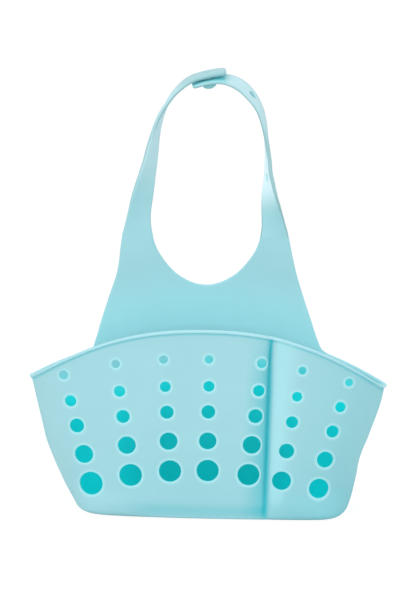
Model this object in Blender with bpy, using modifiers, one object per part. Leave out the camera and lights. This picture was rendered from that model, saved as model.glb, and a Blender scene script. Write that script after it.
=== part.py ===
"""Soft basket that hangs on a kitchen tap and drains through its front wall and floor.

Metres, +Z up, -Y is the front. The origin is the middle of the floor's underside. The real thing
is one soft moulding with a snap stud. Here its walls, lips, straps and stud are solids of their
own, parted at the welds and where the sheet flexes.
"""

import math

import bmesh
import bpy
from mathutils import Matrix, Vector

# Pocket: the front wall is lofted from the floor's outline up to the arched rim.
RIM_HALF_WIDTH = 0.0995
RIM_DEPTH = 0.050
CORNER_HEIGHT = 0.070
RIM_RISE = 0.0353
RIM_POWER = 2.25
FLOOR_HALF_WIDTH = 0.077
FLOOR_DEPTH = 0.044
WALL = 0.0018
BOTTOM_RADIUS = 0.006
SEAM_RUN = 0.002
RIM_SQUARENESS = 2.6
FLOOR_SQUARENESS = 3.8
FLARE_POWER = 0.82

# Fold: one upright crease pressed into the front wall.
FOLD_DEPTH = 0.0045
FOLD_LEFT_REACH = 0.010
FOLD_RIGHT_REACH = 0.018
FOLD_FLOOR_SHARE = 0.40
FOLD_RIM_SHARE = 0.345
FOLD_FADE_SHARE = 0.12
FOLD_BEND_SHARE = 0.67
FOLD_POWER = 1.4

# Holes in the front wall, from the top row down. The rows arch like the rim and drop a little to
# the right, the columns spread upwards, and every hole runs straight back, as a mould's pins draw.
ROW_HEIGHTS = (0.0901, 0.0744, 0.0604, 0.0444, 0.0279)
ROW_DIAMETERS = (0.0035, 0.0055, 0.0073, 0.0093, 0.0119)
ROW_ARCH = 0.0201
ROW_TILT = 0.0014
COLUMN_FOOT_SHARES = (-0.757, -0.491, -0.235, -0.002, 0.244, 0.466, 0.714)
COLUMN_RIM_SHARES = (-0.816, -0.527, -0.266, -0.010, 0.295, 0.516, 0.776)
HOLE_REACH = 0.010

# Drain holes in the floor: one row near the back, a shorter one in front of it.
DRAIN_DIAMETER = 0.006
DRAIN_PITCH = 0.023
DRAIN_ROW_OFFSET = 0.0085
DRAINS_EACH_SIDE = (3, 2)

# Lips
FRONT_LIP_RADIUS = 0.0016
FRONT_LIP_OVERHANG = 0.0011
REAR_LIP_RADIUS = 0.0012
SHOULDER_HEIGHT = 0.0862
SHOULDER_ARCH = 0.0008

# Hanger: the yoke and its two arms.
NECK_HEIGHT = 0.090
NECK_HALF_WIDTH = 0.0635
NECK_BEAD_RADIUS = 0.0011
YOKE_THICKNESS = 0.0018
ARM_ROOT_HEIGHT = 0.150
ARM_ROOT_OUTER = 0.0464
ARM_ROOT_INNER = 0.0298
NOTCH_HEIGHT = 0.1226
SIDE_HANDLE_SHARES = ((0.38, 0.27), (0.79, 0.55))
NOTCH_HANDLE_SHARES = ((0.37, 0.0), (0.86, 0.38))

# Straps: they turn edge-on between the arm roots and the loop's shoulders.
STRAP_WIDTH = 0.013
STRAP_THICKNESS = 0.0018
SHOULDER_HALF_SPAN = 0.0272
LOOP_SHOULDER_HEIGHT = 0.219
ARM_HANDLE_SHARES = ((0.355, 0.316), (0.41, 0.81))
NARROWING_LENGTH = 0.015
TWIST_LENGTH = 0.061
TWIST_POWER = 1.25
HINGE_BEAD_RADIUS = 0.0011

# Strap ends: the stud's end lies on top, the end with the holes under it.
TOP_END_X = 0.0085
TOP_END_RISE = 0.024
TOP_END_SLOPE = math.radians(15)
SHOULDER_SLOPE = math.radians(63.4)
SHOULDER_HANDLE = 0.018
CROWN_HANDLE = 0.020
LAYER_GAP = 0.0014
LOWER_JOIN_SHARE = 0.965
LOWER_END_SHARE = 0.635
LOWER_SHOULDER_HANDLE = 0.014
LOWER_CROWN_HANDLE = 0.006

# Snap stud and the row of holes that it can take.
STUD_SHARE = 0.83
STUD_SHANK_RADIUS = 0.0020
STUD_COLLAR_RADIUS = 0.0030
STUD_COLLAR_THICKNESS = 0.0008
STUD_HEAD_RADIUS = 0.0031
STUD_HEAD_HEIGHT = 0.0024
STUD_HEAD_SHARES = ((1.0, 0.0), (1.0, 0.22), (0.86, 0.45), (0.65, 0.84), (0.32, 1.0))
STUD_HOLE_CLEARANCE = 0.0008
HOLE_PITCH = 0.025
HOLE_DIAMETER = 0.005
SPARE_HOLES = 3

# Clearances
GAP = 0.0003
OVERRUN = 0.004
PROBE = 0.0004

# Mesh fineness
COLUMNS = 22
WALL_ROWS = 8
FILLET_STEPS = 3
ARM_STATIONS = 16
END_STATIONS = 12
OVERLAP_STATIONS = 6
PATH_POINTS = 120
HOLE_SIDES = (8, 10, 12, 14, 16)
DRAIN_SIDES = 12
STUD_STEPS = 20
BEAD_SIDES = 12
LIP_STEPS = 2
SHOULDER_STEPS = 6
OUTLINE_STEPS = 8
FOLD_COLUMN_SHARES = (-0.13, -0.08, -0.04, 0.0, 0.04, 0.08, 0.14, 0.20)
FOLD_MARGIN_SHARE = 0.04
ROUND_END_SHARES = (0.65, 0.30, 0.06)

FLOOR_BACK_Y = FLOOR_DEPTH / 2
SEAM_Y = FLOOR_BACK_Y - GAP
PANEL_Y = FLOOR_BACK_Y + WALL / 2

# Finish
AQUA = (0.36, 0.69, 0.76, 1.0)
WALL_ROUGHNESS = 0.6
LIP_ROUGHNESS = 0.5
STUD_ROUGHNESS = 0.4
SHARP_ANGLE = math.radians(40)


def mix(low, high, share):
    return low + (high - low) * share


def mirrored(point):
    return point and (-point[0], point[1])


def smooth(share):
    return 1 - (1 - min(1.0, share)) ** 2


def clear_scene():
    for thing in list(bpy.data.objects):
        bpy.data.objects.remove(thing)


def new_collection(name):
    made = bpy.data.collections.new(name)
    bpy.context.scene.collection.children.link(made)
    return made


def aqua_material(name, roughness):
    """Soft matt moulding, one colour all through."""
    made = bpy.data.materials.new(name)
    made.use_nodes = True
    made.diffuse_color = AQUA
    shader = made.node_tree.nodes["Principled BSDF"]
    shader.inputs["Base Color"].default_value = AQUA
    shader.inputs["Roughness"].default_value = roughness
    shader.inputs["Metallic"].default_value = 0.0
    return made


def add_object(name, mesh, collection, roughness=WALL_ROUGHNESS):
    """Links a mesh under its name, shaded smooth but for its sharp edges."""
    made = bpy.data.objects.new(name, mesh)
    mesh.name = name
    collection.objects.link(made)
    mesh.materials.clear()
    mesh.materials.append(aqua_material(name, roughness))
    mesh.shade_smooth()
    mesh.set_sharp_from_angle(angle=SHARP_ANGLE)
    return made


def add_cutter(name, bm, cutters):
    mesh = bpy.data.meshes.new(name)
    bm.to_mesh(mesh)
    bm.free()
    made = bpy.data.objects.new(name, mesh)
    made.hide_render = True
    made.display_type = "WIRE"
    cutters.objects.link(made)
    return made


def boolean(target, tool, operation):
    step = target.modifiers.new(tool.name, "BOOLEAN")
    step.operation = operation
    step.object = tool
    return step


def solidify(target, thickness, offset):
    step = target.modifiers.new("thickness", "SOLIDIFY")
    step.thickness = thickness
    step.offset = offset
    return step


def sheet_mesh(rows):
    """An open quad sheet through rows of points, each row as long as the next."""
    bm = bmesh.new()
    grid = [[bm.verts.new(point) for point in row] for row in rows]
    for low, high in zip(grid, grid[1:]):
        for a, b, c, d in zip(low, low[1:], high[1:], high):
            bm.faces.new((a, b, c, d))
    mesh = bpy.data.meshes.new("sheet")
    bm.to_mesh(mesh)
    bm.free()
    return mesh


def mesh_from_curve(curve, matrix):
    """The curve as a welded mesh in world places."""
    guide = bpy.data.objects.new("outline", curve)
    bpy.context.scene.collection.objects.link(guide)
    seen = guide.evaluated_get(bpy.context.evaluated_depsgraph_get())
    mesh = bpy.data.meshes.new_from_object(seen)
    bm = bmesh.new()
    bm.from_mesh(mesh)
    bmesh.ops.remove_doubles(bm, verts=bm.verts, dist=PROBE / 100)
    bmesh.ops.recalc_face_normals(bm, faces=bm.faces)
    bmesh.ops.transform(bm, matrix=matrix, verts=bm.verts)
    bm.to_mesh(mesh)
    bm.free()
    bpy.data.objects.remove(guide)
    return mesh


def plate_curve(thickness):
    curve = bpy.data.curves.new("plate", "CURVE")
    curve.dimensions = "2D"
    curve.fill_mode = "BOTH"
    curve.extrude = thickness / 2
    return curve


def add_polygon(curve, points):
    spline = curve.splines.new("POLY")
    spline.points.add(len(points) - 1)
    for place, (x, y) in zip(spline.points, points):
        place.co = (x, y, 0, 1)
    spline.use_cyclic_u = True


def add_bezier_loop(curve, knots, resolution):
    """Closed outline from (point, handle before, handle after); a missing handle is straight."""
    spline = curve.splines.new("BEZIER")
    spline.bezier_points.add(len(knots) - 1)
    spline.resolution_u = resolution
    spline.use_cyclic_u = True
    for place, (point, before, after) in zip(spline.bezier_points, knots):
        place.handle_left_type = "FREE" if before else "VECTOR"
        place.handle_right_type = "FREE" if after else "VECTOR"
        place.co = (*point, 0)
        place.handle_left = (*(before or point), 0)
        place.handle_right = (*(after or point), 0)


def upright(y):
    """Carries an outline drawn in X and Z from the curve's own plane to the plane at y."""
    return Matrix.Translation((0, y, 0)) @ Matrix.Rotation(math.radians(90), 4, "X")


def tube_mesh(points, radius):
    """A round lip along a path, with flat ends."""
    curve = bpy.data.curves.new("lip", "CURVE")
    curve.dimensions = "3D"
    curve.bevel_depth = radius
    curve.bevel_resolution = LIP_STEPS
    curve.use_fill_caps = True
    spline = curve.splines.new("POLY")
    spline.points.add(len(points) - 1)
    for place, point in zip(spline.points, points):
        place.co = (*point, 1)
    return mesh_from_curve(curve, Matrix.Identity(4))


def cylinder(bm, centre, axis, radius, length, sides):
    turn = axis.to_track_quat("Z", "Y").to_matrix().to_4x4()
    bmesh.ops.create_cone(
        bm,
        cap_ends=True,
        segments=sides,
        radius1=radius,
        radius2=radius,
        depth=length,
        matrix=Matrix.Translation(centre) @ turn,
    )


# Pocket shape


def rim_height(share):
    """Top of the front lip, share running from -1 at the left corner to 1 at the right."""
    return CORNER_HEIGHT + RIM_RISE * (1 - abs(share) ** RIM_POWER)


def edge_height(share):
    """Top of the wall under the lip."""
    return rim_height(share) - 2 * FRONT_LIP_RADIUS - GAP


def fold_share(level):
    return mix(FOLD_FLOOR_SHARE, FOLD_RIM_SHARE, level)


def half_width(level):
    return mix(FLOOR_HALF_WIDTH, RIM_HALF_WIDTH, level**FLARE_POWER)


def fold_dent(x, level):
    """How far the fold presses the wall inwards."""
    away = x - half_width(level) * fold_share(level)
    reach = FOLD_RIGHT_REACH if away > 0 else FOLD_LEFT_REACH
    near = max(0.0, 1 - abs(away) / reach)
    fade = min(1.0, level / FOLD_FADE_SHARE, (1 - level) / FOLD_FADE_SHARE)
    return FOLD_DEPTH * near**FOLD_POWER * max(0.0, fade)


def wall_point(share, height, inset=0.0):
    """A point of the front wall's outer face, or of that face moved inwards."""
    level = min(1.0, max(0.0, height / rim_height(share)))
    growth = level**FLARE_POWER
    depth = mix(FLOOR_DEPTH, RIM_DEPTH, growth) - inset - SEAM_RUN
    squareness = mix(FLOOR_SQUARENESS, RIM_SQUARENESS, growth)
    x = (half_width(level) - inset) * share
    bow = math.sqrt(max(0.0, 1 - abs(share) ** squareness))
    return Vector((x, SEAM_Y - SEAM_RUN - depth * bow + fold_dent(x, level), height))


def wall_normal(share, height):
    """Outward normal of the front wall."""
    step = PROBE / RIM_HALF_WIDTH
    across = wall_point(share + step, height) - wall_point(share - step, height)
    up = wall_point(share, height + PROBE) - wall_point(share, height - PROBE)
    return across.cross(up).normalized()


def column_shares():
    """Columns of the wall: even but closer at the seams, and closer still in the fold."""
    middle = fold_share(0.5)
    even = [math.sin(math.pi * (i / COLUMNS - 0.5)) for i in range(COLUMNS + 1)]
    low, high = FOLD_COLUMN_SHARES[0], FOLD_COLUMN_SHARES[-1]
    kept = [s for s in even if not low - FOLD_MARGIN_SHARE < s - middle < high + FOLD_MARGIN_SHARE]
    return sorted(kept + [middle + s for s in FOLD_COLUMN_SHARES])


def column_share(share, level):
    """Bends the columns near the fold so that one of them runs along it."""
    middle = fold_share(0.5)
    pull = max(0.0, 1 - abs(share - middle) / (middle * FOLD_BEND_SHARE))
    return share + (fold_share(level) - middle) * pull


def wall_row(shares, level, inset, height=None):
    """One row of the wall's grid, with its straight runs to the seams."""
    row = []
    for share in shares:
        bent = column_share(share, level)
        tall = mix(BOTTOM_RADIUS, edge_height(bent), level) if height is None else height
        row.append(wall_point(bent, tall, inset))
    for end, place in ((row[0], 0), (row[-1], len(row) + 1)):
        row.insert(place, Vector((end.x, SEAM_Y, end.z)))
    return row


def build_front_wall(parts, cutters):
    shares = column_shares()
    rows = [wall_row(shares, 0.0, BOTTOM_RADIUS + SEAM_RUN, 0.0)]
    for i in range(FILLET_STEPS):
        angle = math.pi / 2 * i / FILLET_STEPS
        inset = BOTTOM_RADIUS * (1 - math.sin(angle))
        rows.append(wall_row(shares, 0.0, inset, BOTTOM_RADIUS * (1 - math.cos(angle))))
    for i in range(WALL_ROWS + 1):
        rows.append(wall_row(shares, i / WALL_ROWS, 0.0))
    wall = add_object("front_wall", sheet_mesh(rows), parts)
    solidify(wall, WALL, -1)
    boolean(wall, add_cutter("wall_holes", wall_hole_cutters(), cutters), "DIFFERENCE")
    return wall


def hole_centre(height, foot, rim):
    """Where a row at that height in the middle crosses a column with those foot and rim shares."""
    share = mix(foot, rim, height / rim_height(0))
    tall = height - ROW_ARCH * share * share - ROW_TILT * share
    share = mix(foot, rim, tall / rim_height(share))
    return wall_point(share, tall)


def wall_hole_cutters():
    bm = bmesh.new()
    for height, diameter, sides in zip(ROW_HEIGHTS, ROW_DIAMETERS, HOLE_SIDES):
        for foot, rim in zip(COLUMN_FOOT_SHARES, COLUMN_RIM_SHARES):
            centre = hole_centre(height, foot, rim)
            cylinder(bm, centre, Vector((0, 1, 0)), diameter / 2, 2 * HOLE_REACH, sides)
    return bm


def build_floor(parts, cutters):
    """A D-shaped plate inside the wall's turned-in foot, with its drain holes."""
    inset = BOTTOM_RADIUS + SEAM_RUN + GAP
    shares = [math.sin(math.pi * (i / COLUMNS - 0.5)) for i in range(COLUMNS + 1)]
    front = [wall_point(share, 0.0, inset) for share in shares]
    outline = [(p.x, p.y) for p in front]
    outline += [(front[-1].x, SEAM_Y), (front[0].x, SEAM_Y)]
    curve = plate_curve(WALL)
    add_polygon(curve, outline)
    mesh = mesh_from_curve(curve, Matrix.Translation((0, 0, WALL / 2)))
    floor = add_object("floor", mesh, parts)
    middle = (SEAM_Y + min(y for _, y in outline)) / 2
    bm = bmesh.new()
    for y, count in zip((DRAIN_ROW_OFFSET, -DRAIN_ROW_OFFSET), DRAINS_EACH_SIDE):
        for i in range(-count, count):
            centre = Vector(((i + 0.5) * DRAIN_PITCH, middle + y, 0))
            cylinder(bm, centre, Vector((0, 0, 1)), DRAIN_DIAMETER / 2, 2 * OVERRUN, DRAIN_SIDES)
    boolean(floor, add_cutter("drain_holes", bm, cutters), "DIFFERENCE")
    return floor


def shoulder_line(points):
    """The rear rim's top from the right corner in to the neck, with the way down from it."""
    start = Vector((RIM_HALF_WIDTH, CORNER_HEIGHT))
    end = Vector((NECK_HALF_WIDTH + REAR_LIP_RADIUS + GAP, SHOULDER_HEIGHT))
    along = (end - start).normalized()
    down = Vector((-along.y, along.x))
    line = []
    for i in range(points + 1):
        share = i / points
        place = start.lerp(end, share)
        place.y += SHOULDER_ARCH * 4 * share * (1 - share)
        line.append(place)
    return line, down


def build_back_wall(parts):
    line, down = shoulder_line(SHOULDER_STEPS)
    drop = 2 * REAR_LIP_RADIUS + GAP
    shoulder = [place + down * drop for place in line]
    neck_z = shoulder[-1].y + (shoulder[-1].x - NECK_HALF_WIDTH) * down.x / down.y
    right = []
    for i in range(FILLET_STEPS + 1):
        angle = math.pi / 2 * i / FILLET_STEPS
        x = FLOOR_HALF_WIDTH - BOTTOM_RADIUS * (1 - math.sin(angle))
        right.append((x, BOTTOM_RADIUS * (1 - math.cos(angle))))
    for i in range(1, WALL_ROWS + 1):
        height = mix(BOTTOM_RADIUS, shoulder[0].y, i / WALL_ROWS)
        right.append((half_width(height / CORNER_HEIGHT), height))
    right += [(p.x, p.y) for p in shoulder[1:]]
    right.append((NECK_HALF_WIDTH, neck_z))
    right.append((NECK_HALF_WIDTH, NECK_HEIGHT - NECK_BEAD_RADIUS - GAP))
    left = [(-x, z) for x, z in reversed(right)]
    curve = plate_curve(WALL)
    add_polygon(curve, right + left)
    return add_object("back_wall", mesh_from_curve(curve, upright(PANEL_Y)), parts)


def build_front_rim(parts):
    """The thick lip, seated on the wall's top edge and standing out in front of it."""
    outwards = FRONT_LIP_RADIUS - FRONT_LIP_OVERHANG
    shares = [math.sin(math.pi * (i / COLUMNS - 0.5)) for i in range(COLUMNS + 1)]
    path = []
    for share in shares:
        bound = min(1 - PROBE, max(PROBE - 1, share))
        foot = wall_point(bound, edge_height(bound))
        out = wall_normal(bound, edge_height(bound) - PROBE)
        across = (wall_point(bound, foot.z, WALL) - foot).normalized()
        rise = Vector((0, 0, 1)) - out * out.z
        seat = foot + rise.normalized() * (FRONT_LIP_RADIUS + GAP)
        path.append(seat + across * outwards)
    for end in (0, -1):
        run = Vector((path[end].x, SEAM_Y, path[end].z))
        path.insert(0 if end == 0 else len(path), run)
    return add_object("front_rim", tube_mesh(path, FRONT_LIP_RADIUS), parts, LIP_ROUGHNESS)


def build_rear_rims(parts):
    line, down = shoulder_line(SHOULDER_STEPS)
    y = FLOOR_BACK_Y + REAR_LIP_RADIUS + GAP / 2
    centres = [place + down * REAR_LIP_RADIUS for place in line]
    for side, name in ((-1, "left_rear_rim"), (1, "right_rear_rim")):
        path = [(side * p.x, y, p.y) for p in centres]
        add_object(name, tube_mesh(path, REAR_LIP_RADIUS), parts, LIP_ROUGHNESS)


# Hanger shape


def in_box(start, end, share_pair):
    """A place given by its shares of the way from start to end, in X and in Z."""
    return (mix(start[0], end[0], share_pair[0]), mix(start[1], end[1], share_pair[1]))


def build_yoke(parts, cutters):
    """The panel above the neck: waisted sides, a U notch, and a bead along its flex line."""
    neck = (NECK_HALF_WIDTH, NECK_HEIGHT)
    outer = (ARM_ROOT_OUTER, ARM_ROOT_HEIGHT)
    inner = (ARM_ROOT_INNER, ARM_ROOT_HEIGHT)
    notch = (0.0, NOTCH_HEIGHT)
    side = [in_box(neck, outer, s) for s in SIDE_HANDLE_SHARES]
    cove = [in_box(notch, inner, s) for s in NOTCH_HANDLE_SHARES]
    right = [(neck, None, side[0]), (outer, side[1], None), (inner, None, cove[1])]
    left = [(mirrored(p), mirrored(after), mirrored(before)) for p, before, after in right[::-1]]
    curve = plate_curve(YOKE_THICKNESS)
    bottom = (notch, cove[0], mirrored(cove[0]))
    add_bezier_loop(curve, right + [bottom] + left, OUTLINE_STEPS)
    yoke = add_object("yoke", mesh_from_curve(curve, upright(PANEL_Y)), parts)
    bm = bmesh.new()
    length = 2 * (NECK_HALF_WIDTH - NECK_BEAD_RADIUS)
    centre = Vector((0, PANEL_Y, NECK_HEIGHT))
    cylinder(bm, centre, Vector((1, 0, 0)), NECK_BEAD_RADIUS, length, BEAD_SIDES)
    boolean(yoke, add_cutter("neck_bead", bm, cutters), "UNION")
    return yoke


def bezier(knots, share):
    a, b, c, d = (Vector(knot) for knot in knots)
    rest = 1 - share
    return a * rest**3 + b * (3 * rest**2 * share) + c * (3 * rest * share**2) + d * share**3


def bezier_path(knots, points):
    return [bezier(knots, i / points) for i in range(points + 1)]


def arm_path(side):
    """Centreline of an arm in X and Z, from its root up to the loop's shoulder."""
    root = ((ARM_ROOT_OUTER + ARM_ROOT_INNER) / 2, ARM_ROOT_HEIGHT + GAP)
    top = (SHOULDER_HALF_SPAN, LOOP_SHOULDER_HEIGHT)
    first, second = (in_box(root, top, s) for s in ARM_HANDLE_SHARES)
    return [Vector((side * p.x, p.y)) for p in bezier_path((root, first, second, top), PATH_POINTS)]


def top_end_knots():
    """Centreline of the end that lies on top, from the left shoulder over the crown."""
    start = Vector((-SHOULDER_HALF_SPAN, LOOP_SHOULDER_HEIGHT))
    end = Vector((TOP_END_X, LOOP_SHOULDER_HEIGHT + TOP_END_RISE))
    climb = Vector((math.cos(SHOULDER_SLOPE), math.sin(SHOULDER_SLOPE)))
    crown = Vector((math.cos(TOP_END_SLOPE), math.sin(TOP_END_SLOPE)))
    return (start, start + climb * SHOULDER_HANDLE, end - crown * CROWN_HANDLE, end)


def top_end_frame(share):
    """A point of the top end's centreline, the way along it and the way up from it."""
    knots = top_end_knots()
    step = 1 / PATH_POINTS
    along = (bezier(knots, share + step) - bezier(knots, share - step)).normalized()
    return bezier(knots, share), along, Vector((-along.y, along.x))


def lower_end_path():
    """Centreline of the end underneath, from the right shoulder to its free end."""
    drop = STRAP_THICKNESS + LAYER_GAP
    under = []
    for i in range(OVERLAP_STATIONS + 1):
        share = mix(LOWER_JOIN_SHARE, LOWER_END_SHARE, i / OVERLAP_STATIONS)
        place, along, up = top_end_frame(share)
        under.append(place - up * drop)
    ahead = top_end_frame(LOWER_JOIN_SHARE)[1]
    start = Vector((SHOULDER_HALF_SPAN, LOOP_SHOULDER_HEIGHT))
    climb = Vector((-math.cos(SHOULDER_SLOPE), math.sin(SHOULDER_SLOPE)))
    knots = (
        start,
        start + climb * LOWER_SHOULDER_HANDLE,
        under[0] + ahead * LOWER_CROWN_HANDLE,
        under[0],
    )
    return bezier_path(knots, END_STATIONS) + under[1:]


def length_of(path):
    return sum((b - a).length for a, b in zip(path, path[1:]))


def place_at(path, distance):
    """Point and direction of a path at a distance from its start."""
    for a, b in zip(path, path[1:]):
        step = (b - a).length
        if distance <= step:
            return a.lerp(b, distance / step), (b - a).normalized()
        distance -= step
    return path[-1], (path[-1] - path[-2]).normalized()


def ribbon_rows(path, across):
    """Cross-lines of a strap: across gives each station's half width as a vector."""
    rows = []
    for i, place in enumerate(path):
        centre = Vector((place.x, PANEL_Y, place.y))
        half = across(i, place)
        rows.append((centre - half, centre, centre + half))
    return rows


def arm_across(side, place):
    """Half the strap across: flat at the root, turned edge-on with the outer edge in front."""
    risen = place.y - ARM_ROOT_HEIGHT
    width = mix(ARM_ROOT_OUTER - ARM_ROOT_INNER, STRAP_WIDTH, smooth(risen / NARROWING_LENGTH))
    turned = math.sin(math.pi / 2 * min(1.0, max(0.0, risen / TWIST_LENGTH))) ** TWIST_POWER
    angle = math.pi / 2 * turned
    return Vector((side * math.cos(angle), -math.sin(angle), 0)) * (width / 2)


def build_arm(parts, cutters, side, name):
    """The twisted strap from the yoke up to the loop's shoulder."""
    path = arm_path(side)
    reach = length_of(path) - HINGE_BEAD_RADIUS - GAP
    stations = [place_at(path, reach * i / ARM_STATIONS)[0] for i in range(ARM_STATIONS + 1)]
    rows = ribbon_rows(stations, lambda i, place: arm_across(side, place))
    arm = add_object(name, sheet_mesh(rows), parts)
    solidify(arm, STRAP_THICKNESS, 0)
    if side > 0:
        down = path[::-1]
        first = spare_hole_distances()[1:]
        bm = bmesh.new()
        for distance in first:
            place, along = place_at(down, distance - stud_to_shoulder())
            half = arm_across(side, place)
            axis = half.cross(Vector((along.x, 0, along.y))).normalized()
            centre = Vector((place.x, PANEL_Y, place.y))
            cylinder(bm, centre, axis, HOLE_DIAMETER / 2, OVERRUN, DRAIN_SIDES)
        boolean(arm, add_cutter("arm_holes", bm, cutters), "DIFFERENCE")
    return arm


def spare_hole_distances():
    return [HOLE_PITCH * (i + 1) for i in range(SPARE_HOLES)]


def stud_frame():
    """Where the stud passes the top end, with the way along and up."""
    return top_end_frame(STUD_SHARE)


def stud_to_shoulder():
    """Length of the lower end from the stud's hole back to the right shoulder."""
    place, along, up = stud_frame()
    seat = place - up * (STRAP_THICKNESS + LAYER_GAP)
    path = lower_end_path()
    beyond = [p for p in path if (p - seat).dot(along) > 0]
    return length_of(beyond) + (beyond[-1] - seat).length


def round_end(path, free):
    """Stations of a strap end: even ones, then a few for its round free end."""
    total = length_of(path)
    radius = STRAP_WIDTH / 2
    straight = total - radius
    places = [straight * i / free for i in range(free + 1)]
    places += [total - radius * share for share in ROUND_END_SHARES]
    widths = [radius] * (free + 1)
    widths += [radius * math.sqrt(1 - (1 - share) ** 2) for share in ROUND_END_SHARES]
    return [place_at(path, distance)[0] for distance in places], widths


def build_strap_end(parts, cutters, name, path, holes):
    """One free end of the loop, with its hinge bead at the shoulder and its holes."""
    stations, widths = round_end(path, END_STATIONS)
    rows = ribbon_rows(stations, lambda i, place: Vector((0, widths[i], 0)))
    end = add_object(name, sheet_mesh(rows), parts)
    solidify(end, STRAP_THICKNESS, 0)
    bead = bmesh.new()
    pivot = Vector((path[0].x, PANEL_Y, path[0].y))
    cylinder(bead, pivot, Vector((0, 1, 0)), HINGE_BEAD_RADIUS, STRAP_WIDTH - 2 * GAP, BEAD_SIDES)
    boolean(end, add_cutter(name + "_bead", bead, cutters), "UNION")
    bm = bmesh.new()
    for place, along, radius in holes:
        axis = Vector((-along.y, 0, along.x))
        centre = Vector((place.x, PANEL_Y, place.y))
        cylinder(bm, centre, axis, radius, OVERRUN, DRAIN_SIDES)
    boolean(end, add_cutter(name + "_holes", bm, cutters), "DIFFERENCE")
    return end


def build_top_end(parts, cutters):
    place, along, _ = stud_frame()
    path = bezier_path(top_end_knots(), PATH_POINTS)
    hole = (place, along, STUD_SHANK_RADIUS + GAP)
    return build_strap_end(parts, cutters, "stud_end_strap", path, [hole])


def build_lower_end(parts, cutters):
    place, along, up = stud_frame()
    seat = place - up * (STRAP_THICKNESS + LAYER_GAP)
    path = lower_end_path()
    spare, direction = place_at(path, stud_to_shoulder() - spare_hole_distances()[0])
    holes = [
        (seat, along, STUD_HEAD_RADIUS + STUD_HOLE_CLEARANCE),
        (spare, direction, HOLE_DIAMETER / 2),
    ]
    return build_strap_end(parts, cutters, "hole_end_strap", path, holes)


def build_stud(parts):
    """The turned snap stud: plug in the top end, collar between the layers, head below them."""
    place, _, up = stud_frame()
    top = STRAP_THICKNESS / 2
    collar = -top - GAP
    neck = collar - STUD_COLLAR_THICKNESS
    head = -top - LAYER_GAP - STRAP_THICKNESS - GAP
    foot = head - STUD_HEAD_HEIGHT
    profile = [
        (0, top),
        (STUD_SHANK_RADIUS, top),
        (STUD_SHANK_RADIUS, collar),
        (STUD_COLLAR_RADIUS, collar),
        (STUD_COLLAR_RADIUS, neck),
        (STUD_SHANK_RADIUS, neck),
        (STUD_SHANK_RADIUS, head),
    ]
    profile += [(STUD_HEAD_RADIUS * r, mix(head, foot, h)) for r, h in STUD_HEAD_SHARES]
    profile.append((0, foot))
    mesh = bpy.data.meshes.new("stud")
    edges = [(i, i + 1) for i in range(len(profile) - 1)]
    mesh.from_pydata([(x, 0, z) for x, z in profile], edges, [])
    stud = add_object("snap_stud", mesh, parts, STUD_ROUGHNESS)
    turn = stud.modifiers.new("turn", "SCREW")
    turn.axis = "Z"
    turn.steps = STUD_STEPS
    turn.render_steps = STUD_STEPS
    turn.use_merge_vertices = True
    turn.merge_threshold = PROBE / 100
    stud.location = (place.x, PANEL_Y, place.y)
    stud.rotation_euler = (0, math.atan2(up.x, up.y), 0)
    return stud


# Assembly


def add_pivot(name, point, parts, parent=None):
    """An empty on a joint's axis, which carries the pieces that turn about it."""
    pivot = bpy.data.objects.new(name, None)
    pivot.empty_display_size = STRAP_WIDTH
    parts.objects.link(pivot)
    pivot.location = point
    bpy.context.view_layer.update()
    if parent:
        hang(pivot, parent)
    return pivot


def hang(piece, parent):
    bpy.context.view_layer.update()
    piece.parent = parent
    piece.matrix_parent_inverse = parent.matrix_world.inverted()


def main():
    clear_scene()
    parts = new_collection("drain_basket")
    cutters = new_collection("cutters")

    build_front_wall(parts, cutters)
    build_floor(parts, cutters)
    build_back_wall(parts)
    build_front_rim(parts)
    build_rear_rims(parts)

    neck = add_pivot("neck_axis", (0, PANEL_Y, NECK_HEIGHT), parts)
    left = (-SHOULDER_HALF_SPAN, PANEL_Y, LOOP_SHOULDER_HEIGHT)
    right = (SHOULDER_HALF_SPAN, PANEL_Y, LOOP_SHOULDER_HEIGHT)
    stud_axis = add_pivot("stud_end_axis", left, parts, neck)
    hole_axis = add_pivot("hole_end_axis", right, parts, neck)
    hang(build_yoke(parts, cutters), neck)
    hang(build_arm(parts, cutters, -1, "left_arm"), neck)
    hang(build_arm(parts, cutters, 1, "right_arm"), neck)
    hang(build_top_end(parts, cutters), stud_axis)
    hang(build_stud(parts), stud_axis)
    hang(build_lower_end(parts, cutters), hole_axis)


main()
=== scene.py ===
"""Looks of the soft drain basket that hangs on a tap.

The real thing is one soft aqua moulding, so its pieces are laid out here as thin sheets with
rounded edges: the pierced front wall, the floor, the back sheet that goes on up into the yoke,
and the two straps of the loop. The lips and the stud are lofted and turned.
Sizes are in millimetres up to the moment a mesh is made. +Z is up and -Y is the front.
"""

import bisect
import math

import bpy
from mathutils import Matrix, Vector

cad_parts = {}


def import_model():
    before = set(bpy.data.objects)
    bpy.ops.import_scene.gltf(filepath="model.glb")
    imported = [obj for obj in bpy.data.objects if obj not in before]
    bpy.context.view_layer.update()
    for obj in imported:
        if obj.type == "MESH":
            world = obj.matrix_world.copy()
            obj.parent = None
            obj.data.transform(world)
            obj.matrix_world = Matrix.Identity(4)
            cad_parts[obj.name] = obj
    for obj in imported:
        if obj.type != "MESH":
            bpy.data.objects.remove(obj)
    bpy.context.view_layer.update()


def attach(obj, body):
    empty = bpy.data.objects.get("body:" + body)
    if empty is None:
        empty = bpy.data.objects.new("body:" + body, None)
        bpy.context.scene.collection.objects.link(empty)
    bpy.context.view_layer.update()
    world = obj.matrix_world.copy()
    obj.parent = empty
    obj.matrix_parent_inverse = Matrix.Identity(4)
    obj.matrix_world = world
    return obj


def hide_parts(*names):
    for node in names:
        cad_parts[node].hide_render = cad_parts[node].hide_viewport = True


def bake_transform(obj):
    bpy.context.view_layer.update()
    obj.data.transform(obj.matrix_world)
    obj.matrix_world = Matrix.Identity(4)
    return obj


MM = 0.001
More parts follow.
